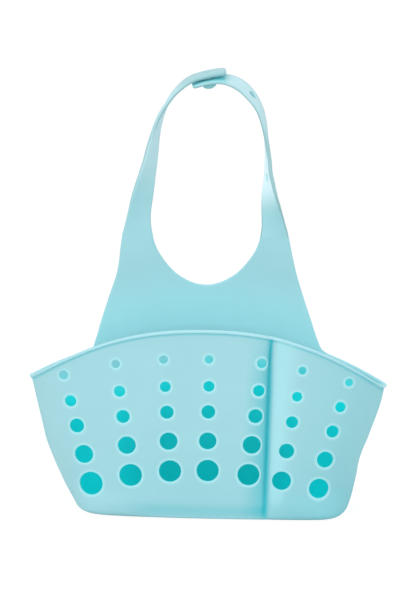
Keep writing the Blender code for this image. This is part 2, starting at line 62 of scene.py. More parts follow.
UP = Vector((0, 0, 1))

# The photograph's view: how steeply it looks down, its turn in its own plane, and its aim in metres
VIEW_RISE = math.radians(8)
VIEW_ROLL = math.radians(1.2)
VIEW_TARGET = Vector((-0.0058, 0.022, 0.11385))
VIEW_DISTANCE = 1.2
VIEW_LENS = 128.6
VIEW_SENSOR_WIDTH = 36
VIEW_SLOPE = math.tan(VIEW_RISE)

# Pocket, fitted to the photograph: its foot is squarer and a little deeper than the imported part's.
# Where two values stand, the key -1 is the left side and 1 the right.
RIM_HALF_WIDTH = 99.5
RIM_DEPTH = 50.0
RIM_APEX = 104.9
CORNER_HEIGHTS = {-1: 70.8, 1: 68.7}
RIM_POWERS = {-1: 2.4, 1: 2.2}
FLOOR_HALF_WIDTH = 77.0
FLOOR_DEPTH = 46.6
RIM_SQUARENESS = 2.6
FLOOR_SQUARENESS = {-1: 4.4, 1: 5.0}
FOOT_EXTRA_SQUARENESS = {-1: 9.0, 1: 12.0}
FOOT_EXTRA_BOW = {-1: 0.15, 1: 0.07}
FOOT_EXTRA_HEIGHT = 16.0
FLARE_POWER = 0.82
WALL = 1.8
BOTTOM_RADIUS = 2.5
BOTTOM_RUN = 2.0
SEAM_Y = 21.7
SEAM_RUN = 2.0
SEAM_OVERLAP = 0.5
LIP_HEIGHT = 1.8
LIP_SHADOW = 1.7

# How far each side of the soft pocket stands out of its even flare, by height
SIDE_SAG = {
    -1: ((0, -4.2), (3.5, -4.0), (6.5, -3.0), (10, -1.9), (15, -1.0), (21, -0.1), (28, 0.7), (35, 1.3),
         (44, 0.9), (56, 0.6), (70, 0.2)),
    1: ((0, 0.8), (5, 1.1), (11, 0.5), (18, -0.5), (25, -1.8), (32, -2.1), (39, -1.4), (46, -1.0),
        (58, -0.4), (65, -0.8), (70, -1.6)),
}
SIDE_SAG_POWER = 6

# The crease pressed into the wall between the fifth and sixth columns of holes
CREASE_LINE = (
    (0, 31.2), (15, 31.3), (26, 31.45), (52, 31.65), (68, 31.85), (81.5, 32.0), (94, 32.4), (98, 32.7),
    (106, 33.1),
)
CREASE_DEPTH = (
    (0, 0.3), (4, 1.2), (14, 2.4), (32, 3.2), (60, 3.6), (80, 4.0), (92, 3.7), (99, 2.4), (106, 1.3),
)
CREASE_LEFT_REACH = 9.0
CREASE_LEFT_SHARE = 0.42
CREASE_WALL_REACH = 1.8
CREASE_WALL_POWER = 1.3
CREASE_RIGHT_REACH = 13.0
CREASE_RIGHT_POWER = 1.8
CREASE_STRIPS = (
    ((0, 2.0), (26, 2.0), (42, 1.8), (58, 1.35), (72, 0.75), (80, 0.4), (87, 0.3), (106, 0.3)),
    ((0, 2.3), (22, 2.3), (39, 4.4), (55, 5.5), (106, 5.5)),
)

# Painted shade in the crease: how dark it shows on its line and in the wide shade left of it, by height
CREASE_TONE = (
    (0, 0.6), (6, 0.85), (20, 0.9), (40, 0.96), (70, 0.96), (85, 0.92), (99, 0.94), (103, 0.6), (106, 0.2),
)
CREASE_TONE_REACH = ((0, 3.2), (75, 3.2), (90, 2.2), (106, 1.8))
CREASE_SHADE = ((0, 0.3), (10, 0.62), (40, 0.76), (70, 0.74), (80, 0.68), (88, 0.5), (95, 0.36), (103, 0.1))
CREASE_SHADE_REACH = 13.0

# Holes as x, height and diameter seen from the front, from the top row down, left to right
HOLES = (
    ((-79.6, 75.9, 5.1), (-50.8, 84.7, 4.5), (-25.0, 88.2, 4.5), (-0.6, 88.9, 4.5),
     (28.0, 87.2, 5.3), (50.0, 83.2, 4.3), (76.1, 75.4, 4.4)),
    ((-75.5, 61.9, 6.3), (-48.5, 69.8, 6.1), (-23.8, 73.3, 5.8), (-0.3, 74.1, 5.9),
     (26.7, 72.1, 6.2), (47.5, 68.9, 5.4), (71.6, 62.1, 5.8)),
    ((-71.8, 48.5, 7.9), (-46.4, 56.0, 7.2), (-22.7, 59.3, 7.2), (-0.3, 60.0, 7.4),
     (25.2, 58.1, 7.7), (45.1, 54.9, 6.5), (67.6, 48.8, 6.8)),
    ((-67.7, 33.0, 10.2), (-44.1, 40.2, 9.7), (-21.5, 43.3, 9.6), (-0.3, 43.9, 9.4),
     (23.6, 42.2, 9.8), (42.6, 38.9, 8.2), (63.9, 33.3, 9.0)),
    ((-63.5, 17.0, 12.9), (-41.8, 23.7, 12.3), (-20.4, 26.7, 12.0), (0.0, 27.4, 12.0),
     (22.2, 25.6, 11.9), (40.3, 22.3, 10.3), (60.9, 17.3, 10.9)),
)
HOLE_EDGE_RADIUS = 0.45
HOLE_EDGE_GLOW = 0.62
HOLE_GLOW_FADE = 2.5
EDGE_STEPS = 3
# Share of a sheet's thickness from which an edge's radius leaves no flat between front and back
FULLY_ROUND = 0.499
RING_WIDTH = 1.4
# Rings from a cell's border in to its hole: share of the way to the border, share of the ring's
# width, and the painted highlight on the hole's edge
HOLE_RINGS = ((0.66, 1, 0), (0.33, 1, 0), (0, 1, 0), (0, 0.4, 0.6), (0, 0, 1))

# Lines between the holes: shares of the half width at the foot and at the rim, then heights. The
# lines with no share stand beside the crease or on it.
CELL_FOOT_SHARES = (-0.905, -0.625, -0.365, -0.12, 0.12, None, None, None, 0.59, 0.865)
CELL_RIM_SHARES = (-0.955, -0.675, -0.40, -0.14, 0.14, None, None, None, 0.645, 0.93)
CREASE_CELLS = (5, 6)
CELL_HEIGHTS = (16.5, 36.6, 52.8, 68.0, 83.0)
CELL_ARCHES = (15.1, 19.1, 19.7, 20.3, 20.9)
CELL_ARCH_LIMIT = 0.81
CELL_TILT = 1.2
FIRST_LINE_ABOVE_FOOT = 0.4
CELL_STEPS = 8
END_STEPS = 8
FOOT_STEPS = 6
RIM_STEPS = 6
RIM_ROWS_BELOW = 3.4
FILLET_STEPS = 4
WALL_CELLS = len(CELL_FOOT_SHARES) - 1
WALL_COLUMNS = 2 * END_STEPS + WALL_CELLS * CELL_STEPS
PIERCED_ROWS = FOOT_STEPS + len(HOLES) * CELL_STEPS
WALL_ROWS = PIERCED_ROWS + RIM_STEPS
# Rounds in which a place of the wall settles
SHARE_ROUNDS = 8
GRID_ROUNDS = 6
WIDEST_SHARE = 0.995

# Floor: its reach to each side, its cells, and the columns with a drain hole, the front row first
FLOOR_REACH = 69.0
FLOOR_OVERLAP = 0.3
FLOOR_COLUMNS = 12
FLOOR_COLUMN_STEPS = 4
FLOOR_ROW_STEPS = 8
DRAIN_COLUMNS = ((2, 4, 7, 9), (0, 2, 4, 7, 9, 11))
DRAIN_RADIUS = 3.0

# Back sheet: panel, neck, yoke and the U notch
PANEL_Y = 22.9
SHOULDER_CORNERS = {-1: (99.3, 70.2), 1: (98.5, 69.0)}
SHOULDER_NECKS = {-1: (65.0, 85.3), 1: (65.0, 85.7)}
SHOULDER_RISES = {-1: 1.2, 1: 0.9}
SHOULDER_EDGE_DROP = 1.4
REAR_LIP_RADIUS = 1.2
NECK_LINES = {
    -1: ((84.8, 66.4), (86.3, 65.4), (89, 64.6), (93.1, 63.3), (100, 61.5), (106.8, 59.5), (113.7, 57.4),
         (120.4, 55.2), (126, 53.4), (131, 52.3), (136, 51.6), (142, 51.1), (147.5, 50.4), (150, 50.1)),
    1: ((84.8, 66.0), (86.0, 64.1), (87.3, 62.8), (89.0, 61.8), (95.6, 59.1), (102.4, 56.8), (109.1, 54.4),
        (115.9, 52.0), (122.5, 49.8), (128, 48.0), (132.7, 46.7), (137, 45.7), (142.7, 44.3), (150, 42.7)),
}
NOTCH = ((0, 122.7), (4.6, 123.2), (9.4, 124.8), (15.6, 128.3), (19.5, 131.7), (22.6, 135.2), (27.1, 141.8),
         (29.3, 147.2), (29.9, 150.0))
NOTCH_MIDDLE = -3.2
ROOT_HEIGHT = 150.0
LEAN = ((0, 0), (70, 0), (90, -2.1), (122, -3.2), (150, -3.2))
BACK_STEPS = 20
BACK_HEIGHTS = (
    [0.95, 1.6, 3.0, 6.0]
    + [6.0 + 7.6 * i for i in range(1, 9)]
    + [68.6, 70.5, 72.5, 74.5, 76.5, 78.5, 80.5, 82.5, 84.0, 84.8, 85.6, 86.4, 87.2]
    + [88.0 + i for i in range(8)]
)
YOKE_ROWS = 8
NOTCH_ROWS = 16
NOTCH_SLOPE_RUN = 0.2
# Height of the yoke's edge where the notch starts in its middle
YOKE_EDGE_AT_NOTCH = 111.0

# Straps: x, z, width, turn in degrees and thickness along each one, from the yoke to the free end
LEFT_STRAP = (
    (-41.6, 150.0, 17.0, 0, 1.8),
    (-41.4, 155.5, 14.6, 3, 1.9),
    (-40.9, 161.2, 13.2, 11, 2.1),
    (-39.9, 168.0, 13.0, 22, 2.3),
    (-38.3, 176.3, 13.0, 35, 2.4),
    (-36.6, 184.6, 13.0, 49, 2.4),
    (-35.2, 191.6, 13.0, 58, 2.4),
    (-34.2, 198.0, 13.0, 64, 2.4),
    (-33.0, 204.7, 13.0, 72, 2.4),
    (-31.5, 211.3, 13.0, 78, 2.4),
    (-29.2, 218.0, 13.0, 84, 2.4),
    (-26.4, 223.4, 13.0, 90, 2.4),
    (-22.7, 228.9, 13.0, 94, 2.4),
    (-18.5, 233.2, 13.0, 97, 2.5),
    (-13.8, 236.6, 13.0, 98, 2.8),
    (-8.6, 238.6, 13.0, 98, 2.9),
    (-3.2, 240.0, 13.0, 98, 3.0),
    (2.0, 241.0, 13.0, 97, 3.0),
    (5.8, 241.35, 13.0, 97, 3.1),
)
RIGHT_STRAP = (
    (34.7, 150.0, 16.0, 0, 1.8),
    (34.1, 156.0, 13.8, 12, 1.9),
    (33.0, 162.7, 13.0, 28, 2.1),
    (31.9, 169.4, 13.0, 44, 2.3),
    (31.1, 176.0, 13.0, 59, 2.4),
    (30.8, 181.0, 13.0, 69, 2.4),
    (30.4, 186.0, 13.0, 78, 2.4),
    (30.1, 192.7, 13.0, 83, 2.4),
    (29.5, 199.3, 13.0, 88, 2.4),
    (28.6, 206.0, 13.0, 92, 2.4),
    (27.5, 212.0, 13.0, 96, 2.4),
    (25.5, 219.2, 13.0, 101, 2.4),
    (22.9, 224.3, 13.0, 106, 2.4),
    (19.0, 229.4, 13.0, 112, 2.4),
    (13.4, 234.2, 13.0, 113, 2.4),
    (6.2, 237.0, 13.0, 110, 2.4),
    (1.0, 236.9, 13.0, 103, 2.4),
    (-4.0, 236.0, 13.0, 100, 2.4),
    (-8.0, 234.9, 13.0, 99, 2.3),
    (-12.8, 233.2, 13.0, 98, 2.2),
)
STRAP_STEPS = 8
STRAP_STATION = 2.4
STRAP_END_CORNER = 2.5
STRAP_END_MARKS = (0.4, 0.75, 1.0)
STRAP_SLOPE_RUN = 0.2
STRAP_END_RUN = 0.5
STRAP_HOLE_HALF_LENGTH = 4.4
MARK_SLACK = 1e-6
STRAP_HOLE_DIAMETER = 4.4
STUD_SEAT_DIAMETER = 6.0
STUD_X = -4.6
STRAP_HOLE_PITCH = 23.5
FIRST_HOLE_AWAY = 27.4
SEARCH_STEPS = 2000

# Stud, turned round the line through both straps: radius and height above the strap's middle
STUD_PROFILE = (
    (0.0, 1.62), (1.0, 1.6), (1.8, 1.54), (2.6, 1.42), (2.7, 1.2), (2.0, 0.6), (2.0, -1.7), (2.8, -1.75),
    (2.8, -2.0), (2.0, -2.1), (1.9, -5.1), (2.2, -5.5), (3.4, -5.7), (3.7, -6.1), (3.6, -6.7), (3.0, -7.3),
    (1.9, -7.8), (0.8, -8.1), (0.0, -8.15),
)
STUD_SIDES = 28
STUD_SLOPE_RUN = 0.5

# Lips: how deep the front one is, how far it stands out, and how it thins towards its ends
LIP_HALF_DEPTH = 1.6
LIP_STANDS_OUT = 0.35
LIP_END_TALL = 0.72
LIP_THINS_FROM = 0.75
LIP_LAST_SHARE = 0.9998
LIP_SLOPE_RUN = 0.002
LIP_END_PLACES = (20.6, 21.8)
LIP_STATIONS = 120
LIP_SIDES = 14
LIP_SQUARENESS = 0.85
DOME_SHARES = (0.35, 0.72, 0.93)
REAR_LIP_STATIONS = 16
REAR_LIP_SIZE = 1.15
REAR_LIP_TAPER = 0.25
REAR_LIP_BACK = 0.2
REAR_LIP_PAST_NECK = 0.6
REAR_LIP_BELOW_NECK = 0.3

# Finish: roughness, then linear colours: the aqua, a paler copy as a painted highlight on the lip,
# painted shade deep inside the pocket, painted highlights and painted shades for walls, straps and
# stud; then how strong the painted glow is for the light that shines through, and the fine skin
MATT = 0.55
LIP_SATIN = 0.45
STUD_SATIN = 0.38
AQUA = (0.360, 0.675, 0.735, 1.0)
# Paler aqua of the lip: a painted highlight where its top catches the light
LIP_HIGHLIGHT_AQUA = (0.410, 0.750, 0.820, 1.0)
POCKET_SHADE_AQUA = (0.008, 0.79, 0.815, 1.0)
HIGHLIGHT_AQUA = (0.45, 0.87, 0.93, 1.0)
SHADED_AQUA = (0.035, 0.52, 0.60, 1.0)
STRAP_HIGHLIGHT = (0.70, 0.88, 0.93, 1.0)
STRAP_EDGE_SHADE = (0.24, 0.46, 0.48, 1.0)
STUD_SHADE_AQUA = (0.23, 0.55, 0.575, 1.0)
SHINE_THROUGH = 0.5
SHARP_ANGLE = math.radians(48)
SKIN_GRAIN = 0.12
SKIN_STRENGTH = 0.5
SKIN_HEIGHT = 0.0004
SPECULAR = 0.35

# What each point of a mesh tells its material, all of it painted light: how strong a painted highlight,
# how much painted shade, how deep inside the pocket it is for the painted shade there, and how much
# painted glow stands in for light that shines through the soft wall there
LOOKS = ("painted_highlight", "painted_shade", "depth", "painted_through_glow")
PLAIN = Vector((0.0, 0.0, 0.0, 0.0))

# Painted glow, sent to the emission, for light that shines through the walls, by height: in the middle of
# the pocket and at its sides
MIDDLE_LIFT = ((10, 0.0), (20, 0.0), (37, 0.02), (53, 0.09), (67, 0.2), (82, 0.27), (95, 0.1), (105, 0.0))
SIDE_LIFT = ((10, 0.32), (30, 0.27), (45, 0.31), (58, 0.44), (73, 0.32), (90, 0.15), (105, 0.05))
# How far below the rim the painted shade, deep and saturated, starts inside the pocket, by the share of the
# width, and how long it takes
DEPTH_START = (
    (-1, 2.5), (-0.8, 7.8), (-0.5, 17.0), (-0.25, 17.0), (0, 12.7), (0.28, 11.6), (0.5, 8.2), (0.77, 0.0),
    (1, -6.0),
)
DEPTH_RUN = 22.0
# Painted glow: its share on the wall and floor, the shares of the width at which the sides' glow takes
# over, and how much of it the right side loses high up
NEAR_SIDE_LIFT = 0.4
SIDE_LIFT_SHARES = (0.27, 0.65)
RIGHT_LIFT_CUT = 0.6
RIGHT_CUT_SHARES = (0.3, 0.5)
RIGHT_CUT_HEIGHTS = (66.0, 74.0)

# The crease's painted shade, wide and with a dark core left of the line, and the painted highlight right of
# it
CREASE_SHADE_POWER = 1.1
CREASE_CORE_REACH = 2.2
CREASE_CORE_POWER = 1.2
CREASE_TONE_START = 0.3
CREASE_GLOW = 0.45
CREASE_GLOW_START = (1.5, 4.5)
CREASE_GLOW_FADES_FROM = 6.0
CREASE_GLOW_ENDS = (12.0, 20.0)
CREASE_GLOW_HEIGHTS = (4.0, 14.0)

# The line of shadow under the lip, left and right of a share of the width
LIP_LINE_TONES = (0.46, 0.38)
LIP_LINE_SHARES = (0.3, 0.4)
LIP_LINE = (LIP_HEIGHT - 0.6, LIP_HEIGHT, LIP_HEIGHT + 0.2, LIP_HEIGHT + LIP_SHADOW)

# Painted highlights and painted shades that add up over the wall: strength, then the heights and the
# shares of the width between which each one comes in and goes out again
FROM_START = (-9, -8)
TO_END = (900, 999)
EVERYWHERE = FROM_START + TO_END
WALL_GLOWS = (
    (0.08, (*FROM_START, 2.0, 9.0), (*FROM_START, -0.78, -0.62)),
    (0.55, (*FROM_START, 0.6, 2.8), (-0.6, -0.3, 0.3, 0.5)),
)
WALL_SHADES = (
    (0.3, (1.5, 3.5, 5.0, 10.0), (-0.62, -0.35, 0.38, 0.42)),
    (0.09, EVERYWHERE, (0.46, 0.62, *TO_END)),
    (0.09, EVERYWHERE, (0.62, 0.9, *TO_END)),
    (0.22, EVERYWHERE, (0.965, 1.0, *TO_END)),
    (0.22, EVERYWHERE, (*FROM_START, -1.0, -0.965)),
    (0.07, (*FROM_START, 15.0, 60.0), (-0.9, -0.4, *TO_END)),
    (0.12, (*FROM_START, 8.0, 22.0), (0.36, 0.5, *TO_END)),
)

# Back sheet: painted shade on its edge, and how the yoke's painted light takes over from the pocket's
# painted shade at the rim
BACK_EDGE_TONE = 0.25
YOKE_DEPTH = 0.06
YOKE_LIFT = 0.3
YOKE_STARTS = (-9.0, -3.0)
YOKE_LIT = (4.0, 34.0)

# Straps: painted shade on their edges by the share of the thickness, then painted highlights and painted
# shade on their faces
STRAP_EDGE_TONE = 0.8
LEFT_EDGE_TONE = 0.72
LEFT_EDGE_SHARES = (0.15, 0.65)
CROWN_EDGE_DROP = 0.64
CROWN_EDGE_SHARES = (0.2, 0.6)
CROWN_HEIGHTS = (200.0, 216.0)
TURNED_TONE = 0.45
TURNED_FROM = (20.0, 70.0)
BRIGHT_TURNS = (32.0, 68.0, 82.0, 96.0)
BRIGHT_TONE = 0.5
BRIGHT_LIFT = 0.25
# Painted shade and glow in the gap where the straps overlap
STRAP_OVERLAP = Vector((0.0, 0.0, 0.28, 0.12))
OVERLAP_ENDS = ((8.0, 4.0), (-16.0, -11.0))
OVERLAP_ABOVE = 230
STRAP_FAR_EDGE = 0.5
STRAP_TOP_TONE = 0.52
STRAP_TOP_STARTS = (-24.0, -15.0)
STRAP_TOP_ABOVE = 220
# Painted shade on the stud: half on its cap, full on the head under the straps
STUD_CAP = Vector((0.0, 0.5, 0.0, 0.0))
STUD_HEAD = Vector((0.0, 1.0, 0.0, 0.1))

# Stage and lamps, in metres: the paper's sweep, then each lamp's place, size and power
SWEEP_HALF_WIDTH = 3.0
SWEEP_FRONT = -3.0
SWEEP_TURN = 1.2
SWEEP_RADIUS = 0.8
SWEEP_STEPS = 8
SWEEP_TOP = 3.0
SWEEP_BELOW = 0.0004
PAPER = (0.9, 0.9, 0.9, 1)
PAPER_LIGHT = 1.05
PAPER_LIT_SHARE = 0.88
WORLD_LIGHT = 0.82
LAMPS = (
    ("key", (-0.9, -1.2, 1.1), 0.9, 6.0),
    ("fill", (1.2, -1.0, 0.5), 1.0, 2.0),
    ("top", (0.0, -0.1, 1.4), 0.8, 2.5),
)
LAMP_AIM = Vector((0, 0, 0.11))


# Small helpers


def mix(low, high, share):
    return low + (high - low) * share


def smoothstep(low, high, at):
    share = min(1.0, max(0.0, (at - low) / (high - low)))
    return share * share * (3 - 2 * share)


def band(at, start, full, fade, gone):
    """Eases from 0 at start to 1 at full, and from 1 at fade back to 0 at gone."""
    return smoothstep(start, full, at) * (1 - smoothstep(fade, gone, at))


def curve_through(table, at):
    """Smooth value at a place, from (place, value) pairs in rising order."""
    last = len(table) - 1
    if at <= table[0][0]:
        return table[0][1]
    if at >= table[last][0]:
        return table[last][1]
    i = bisect.bisect_right([place for place, _ in table], at) - 1

    def slope(j):
        low, high = max(0, j - 1), min(last, j + 1)
        return (table[high][1] - table[low][1]) / (table[high][0] - table[low][0])

    span = table[i + 1][0] - table[i][0]
    t = (at - table[i][0]) / span
    return (
        table[i][1] * (2 * t**3 - 3 * t**2 + 1)
        + slope(i) * (span * (t**3 - 2 * t**2 + t))
        + table[i + 1][1] * (3 * t**2 - 2 * t**3)
        + slope(i + 1) * (span * (t**3 - t**2))
    )


def table_along(knots):
    """(Distance, values) pairs along a row of knots whose first two values are their place."""
    lengths = [0.0]
    for a, b in zip(knots, knots[1:]):
        lengths.append(lengths[-1] + math.dist(a[:2], b[:2]))
    return [(length, Vector(knot)) for length, knot in zip(lengths, knots)]


class Sheet:
    """A moulded sheet while it is laid out: front and back points, and the faces on its front.

    Faces run anticlockwise seen from the front. seam holds points along a joint that stays
    flat, and holes the points round a hole, whose edge is less round than the sheet's own.
    look and far_look hold the painted light and shade of the front and the back. edge_tone(spot, share)
    tells how dark the painted shade makes the outer edge at a share of the way from the front to the back.
    """

    def __init__(self, edge_tone=None):
        self.front = []
        self.back = []
        self.faces = []
        self.look = []
        self.far_look = []
        self.seam = set()
        self.holes = set()
        self.edge_tone = edge_tone

    def point(self, front, back, look=PLAIN, far_look=PLAIN):
        self.front.append(front)
        self.back.append(back)
        self.look.append(look)
        self.far_look.append(far_look)
        return len(self.front) - 1

    def quads(self, low, high):
        for a, b, c, d in zip(low, low[1:], high[1:], high):
            self.faces.append((a, b, c, d))

    def grid_face(self, grid, i, j):
        """The face of one cell of a grid, named by its lower left corner."""
        self.faces.append((grid[i, j], grid[i + 1, j], grid[i + 1, j + 1], grid[i, j + 1]))

    def loops(self):
        """The sheet's outlines as rings of points, with the sheet on their left."""
        sides = set()
        for face in self.faces:
            sides.update(zip(face, face[1:] + face[:1]))
        after = {a: b for a, b in sides if (b, a) not in sides}
        found = []
        while after:
            start, point = after.popitem()
            ring = [start]
            while point != start:
                ring.append(point)
                point = after.pop(point)
            found.append(ring)
        return found


def edge_profile(radius, thickness, steps):
    """Places round a sheet's edge as (share of the thickness, reach outwards)."""
    radius = min(radius, thickness / 2)
    near = []
    for i in range(1, steps + 1):
        angle = math.pi / 2 * i / steps
        near.append((radius * (1 - math.cos(angle)) / thickness, radius * math.sin(angle)))
    far = [(1 - share, reach) for share, reach in reversed(near)]
    flat_between = radius < thickness * FULLY_ROUND
    return near + far if flat_between else near + far[1:]


def outward_of(sheet, ring, i):
    """Way out of the sheet at a point of its outline, level with the sheet."""
    here = ring[i]
    before, after = ring[i - 1], ring[(i + 1) % len(ring)]
    if here in sheet.seam:
        before = here if before in sheet.seam else before
        after = here if after in sheet.seam else after
    along = sheet.front[after] - sheet.front[before]
    if here in sheet.holes:
        along = along.normalized() + (sheet.back[after] - sheet.back[before]).normalized()
    through = sheet.back[here] - sheet.front[here]
    return through.cross(along).normalized()


def solid_from_sheet(name, sheet):
    """Closes a sheet into a solid with rounded edges and makes its object, in metres."""
    count = len(sheet.front)
    points = sheet.front + sheet.back
    looks = sheet.look + sheet.far_look
    faces = list(sheet.faces)
    faces += [tuple(count + i for i in reversed(face)) for face in sheet.faces]
    for ring in sheet.loops():
        sections = []
        for i, here in enumerate(ring):
            front, back = sheet.front[here], sheet.back[here]
            thickness = (back - front).length
            holed = here in sheet.holes
            radius = HOLE_EDGE_RADIUS if holed else thickness / 2
            outward = outward_of(sheet, ring, i)
            section = [here]
            for share, reach in edge_profile(radius, thickness, EDGE_STEPS):
                section.append(len(points))
                points.append(front.lerp(back, share) + outward * reach)
                look = sheet.look[here].lerp(sheet.far_look[here], share)
                # Hole edges keep the painted highlight only near the front; outer edges take painted shade
                # from edge_tone
                if holed:
                    look[0] = sheet.look[here][0] * max(0.0, 1 - share * HOLE_GLOW_FADE)
                elif sheet.edge_tone:
                    dark = sheet.edge_tone(front, share)
                    look = look * (1 - dark)
                    look[1] += dark
                looks.append(look)
            section.append(count + here)
            sections.append(section)
        seam = []
        for i, section in enumerate(sections):
            after = sections[(i + 1) % len(ring)]
            if ring[i] in sheet.seam and ring[(i + 1) % len(ring)] in sheet.seam:
                seam.append((section, after))
                continue
            for a, b, c, d in zip(section, section[1:], after[1:], after):
                faces.append((a, b, c, d))
        if seam:
            faces.append(seam_cap(seam))
    return made_mesh(name, points, faces, looks)


def seam_cap(pairs):
    """One flat face across a joint, from the rows of points on its front and back."""
    order = {first[0]: (first, after) for first, after in pairs}
    starts = set(order) - {after[0] for _, after in pairs}
    section, after = order[starts.pop()]
    chain = [section, after]
    while after[0] in order:
        after = order[after[0]][1]
        chain.append(after)
    front = [part[0] for part in chain]
    back = [part[-1] for part in chain]
    return tuple(chain[0][::-1][:-1] + front + chain[-1][1:-1] + back[:0:-1])


def new_object(name, data):
    """An object for a mesh, a lamp or a camera, in the scene."""
    made = bpy.data.objects.new(name, data)
    bpy.context.scene.collection.objects.link(made)
    return made


def made_mesh(name, points, faces, looks):
    """An object in metres from points in millimetres, shaded smooth but for its sharp edges."""
    mesh = bpy.data.meshes.new(name)
    mesh.from_pydata([tuple(point * MM) for point in points], [], faces)
    for kind, word in enumerate(LOOKS):
        layer = mesh.attributes.new(word, "FLOAT", "POINT")
        layer.data.foreach_set("value", [look[kind] for look in looks])
    mesh.validate()
    mesh.update()
    mesh.shade_smooth()
    mesh.set_sharp_from_angle(angle=SHARP_ANGLE)
    return new_object(name, mesh)


def cell_border(left, low, wide, tall):
    """Places of a grid round one cell, anticlockwise from its lower left corner."""
    right, top = left + wide, low + tall
    border = [(left + k, low) for k in range(wide)]
    border += [(right, low + k) for k in range(tall)]
    border += [(right - k, top) for k in range(wide)]
    return border + [(left, top - k) for k in range(tall)]


def gap_to_border(spot, border):
    """Shortest way from a flat spot to a closed row of flat points."""
    gaps = []
    for a, b in zip(border, border[1:] + border[:1]):
        away, run = Vector(spot) - Vector(a), Vector(b) - Vector(a)
        share = min(1.0, max(0.0, away.dot(run) / run.length_squared))
        gaps.append((away - run * share).length)
    return min(gaps)


def hole_angles(border, centre):
    """Angles round a hole for the points of its cell's border, halfway from level with them to even."""
    ways = [Vector(spot) - Vector(centre) for spot in border]
    own = [math.atan2(ways[0].y, ways[0].x)]
    for before, after in zip(ways, ways[1:]):
        own.append(own[-1] + math.atan2(before.cross(after), before.dot(after)))
    nearest = min(range(len(ways)), key=lambda i: ways[i].length)
    step = 2 * math.pi / len(ways)
    return [mix(angle, own[nearest] + step * (i - nearest), 0.5) for i, angle in enumerate(own)]


def pierced_cell(sheet, border, flats, centre, radius, place, tone, highlight, slope=0.0):
    """Fills a cell of the sheet with rings that go from its border to a round hole.

    flats are the border's points laid flat, for the front and for the back. place turns a flat
    point into its place on the front (0) or the back (1). tone gives the painted light and shade of
    the front and the back at a place, and the argument after tone how strong the painted highlight on
    the hole's edge is. With a slope the hole is round to an eye that looks down by that slope.
    """
    wide = radius + HOLE_EDGE_RADIUS
    middle = place(centre, 0)
    rounds = []
    for angle in hole_angles(flats[0], centre):
        spot = (centre[0] + wide * math.cos(angle), centre[1] + wide * math.sin(angle))
        if slope:
            spot = (spot[0], spot[1] - (place(spot, 0).y - middle.y) * slope)
        rounds.append(spot)
    reaches = [[min(RING_WIDTH, gap_to_border(spot, flat) / 2) for spot in rounds] for flat in flats]
    rings = [list(border)]
    for towards_border, share, painted_highlight in HOLE_RINGS:
        ring = []
        for i, spot in enumerate(rounds):
            away = (Vector(spot) - Vector(centre)).normalized()
            spots = []
            for face in (0, 1):
                flat = Vector(spot) + away * (reaches[face][i] * share)
                flat = flat.lerp(Vector(flats[face][i]), towards_border)
                spots.append(place(tuple(flat), face))
            look, far_look = tone(spots[0])
            # The hole's edge takes the painted highlight in place of painted shade
            look[0] = max(look[0], painted_highlight * highlight)
            look[1] *= 1 - painted_highlight
            ring.append(sheet.point(spots[0], spots[1], look, far_look))
        rings.append(ring)
    sheet.holes.update(rings[-1])
    for outer, inner in zip(rings, rings[1:]):
        sheet.quads(outer + outer[:1], inner + inner[:1])


# Pocket shape


def side_of(share):
    return -1 if share < 0 else 1


def rim_height(share):
    """Top of the front lip, share running from -1 at the left corner to 1 at the right."""
    side = side_of(share)
    corner = CORNER_HEIGHTS[side]
    return corner + (RIM_APEX - corner) * (1 - abs(share) ** RIM_POWERS[side])


def half_width(level):
    return mix(FLOOR_HALF_WIDTH, RIM_HALF_WIDTH, max(0.0, level) ** FLARE_POWER)


def side_sag(share, height):
    side = side_of(share)
    return side * curve_through(SIDE_SAG[side], height) * abs(share) ** SIDE_SAG_POWER


def crease_dent(x, height):
    """How far the crease presses the wall inwards."""
    away = x - curve_through(CREASE_LINE, height)
    if away > 0:
        press = max(0.0, 1 - away / CREASE_RIGHT_REACH) ** CREASE_RIGHT_POWER
    else:
        slope = max(0.0, 1 + away / CREASE_LEFT_REACH) ** 2
        drop = max(0.0, 1 + away / CREASE_WALL_REACH) ** CREASE_WALL_POWER
        press = CREASE_LEFT_SHARE * slope + (1 - CREASE_LEFT_SHARE) * drop
    return curve_through(CREASE_DEPTH, height) * press


def wall_point(share, height, inset=0.0):
    """A point of the front wall's outer face, or of that face moved inwards."""
    level = min(1.0, max(0.0, height / rim_height(share)))
    growth = level**FLARE_POWER
    side = side_of(share)
    foot = max(0.0, 1 - height / FOOT_EXTRA_HEIGHT) ** 2
    depth = mix(FLOOR_DEPTH, RIM_DEPTH, growth) - inset - SEAM_RUN
    depth *= 1 - FOOT_EXTRA_BOW[side] * share * share * foot
    squareness = mix(FLOOR_SQUARENESS[side], RIM_SQUARENESS, growth) + FOOT_EXTRA_SQUARENESS[side] * foot
    x = (half_width(level) - inset) * share + side_sag(share, height)
    bow = math.sqrt(max(0.0, 1 - abs(share) ** squareness))
    return Vector((x, SEAM_Y - SEAM_RUN - depth * bow + crease_dent(x, height), height))


def share_at(x, height, inset=0.0):
    """The share of the width at which the wall passes a place seen from the front."""
    share = x / half_width(height / RIM_APEX)
    for _ in range(SHARE_ROUNDS):
        level = min(1.0, height / rim_height(share))
        share = (x - side_sag(share, height)) / (half_width(level) - inset)
        share = min(WIDEST_SHARE, max(-WIDEST_SHARE, share))
    return share


def wall_seen(flat, face):
    """The wall's outer (0) or inner (1) face at a place (x, z) seen from the front."""
    x, height = flat
    share = share_at(x, height, WALL * face)
    found = wall_point(share, height, WALL * face)
    return Vector((x, found.y, height))


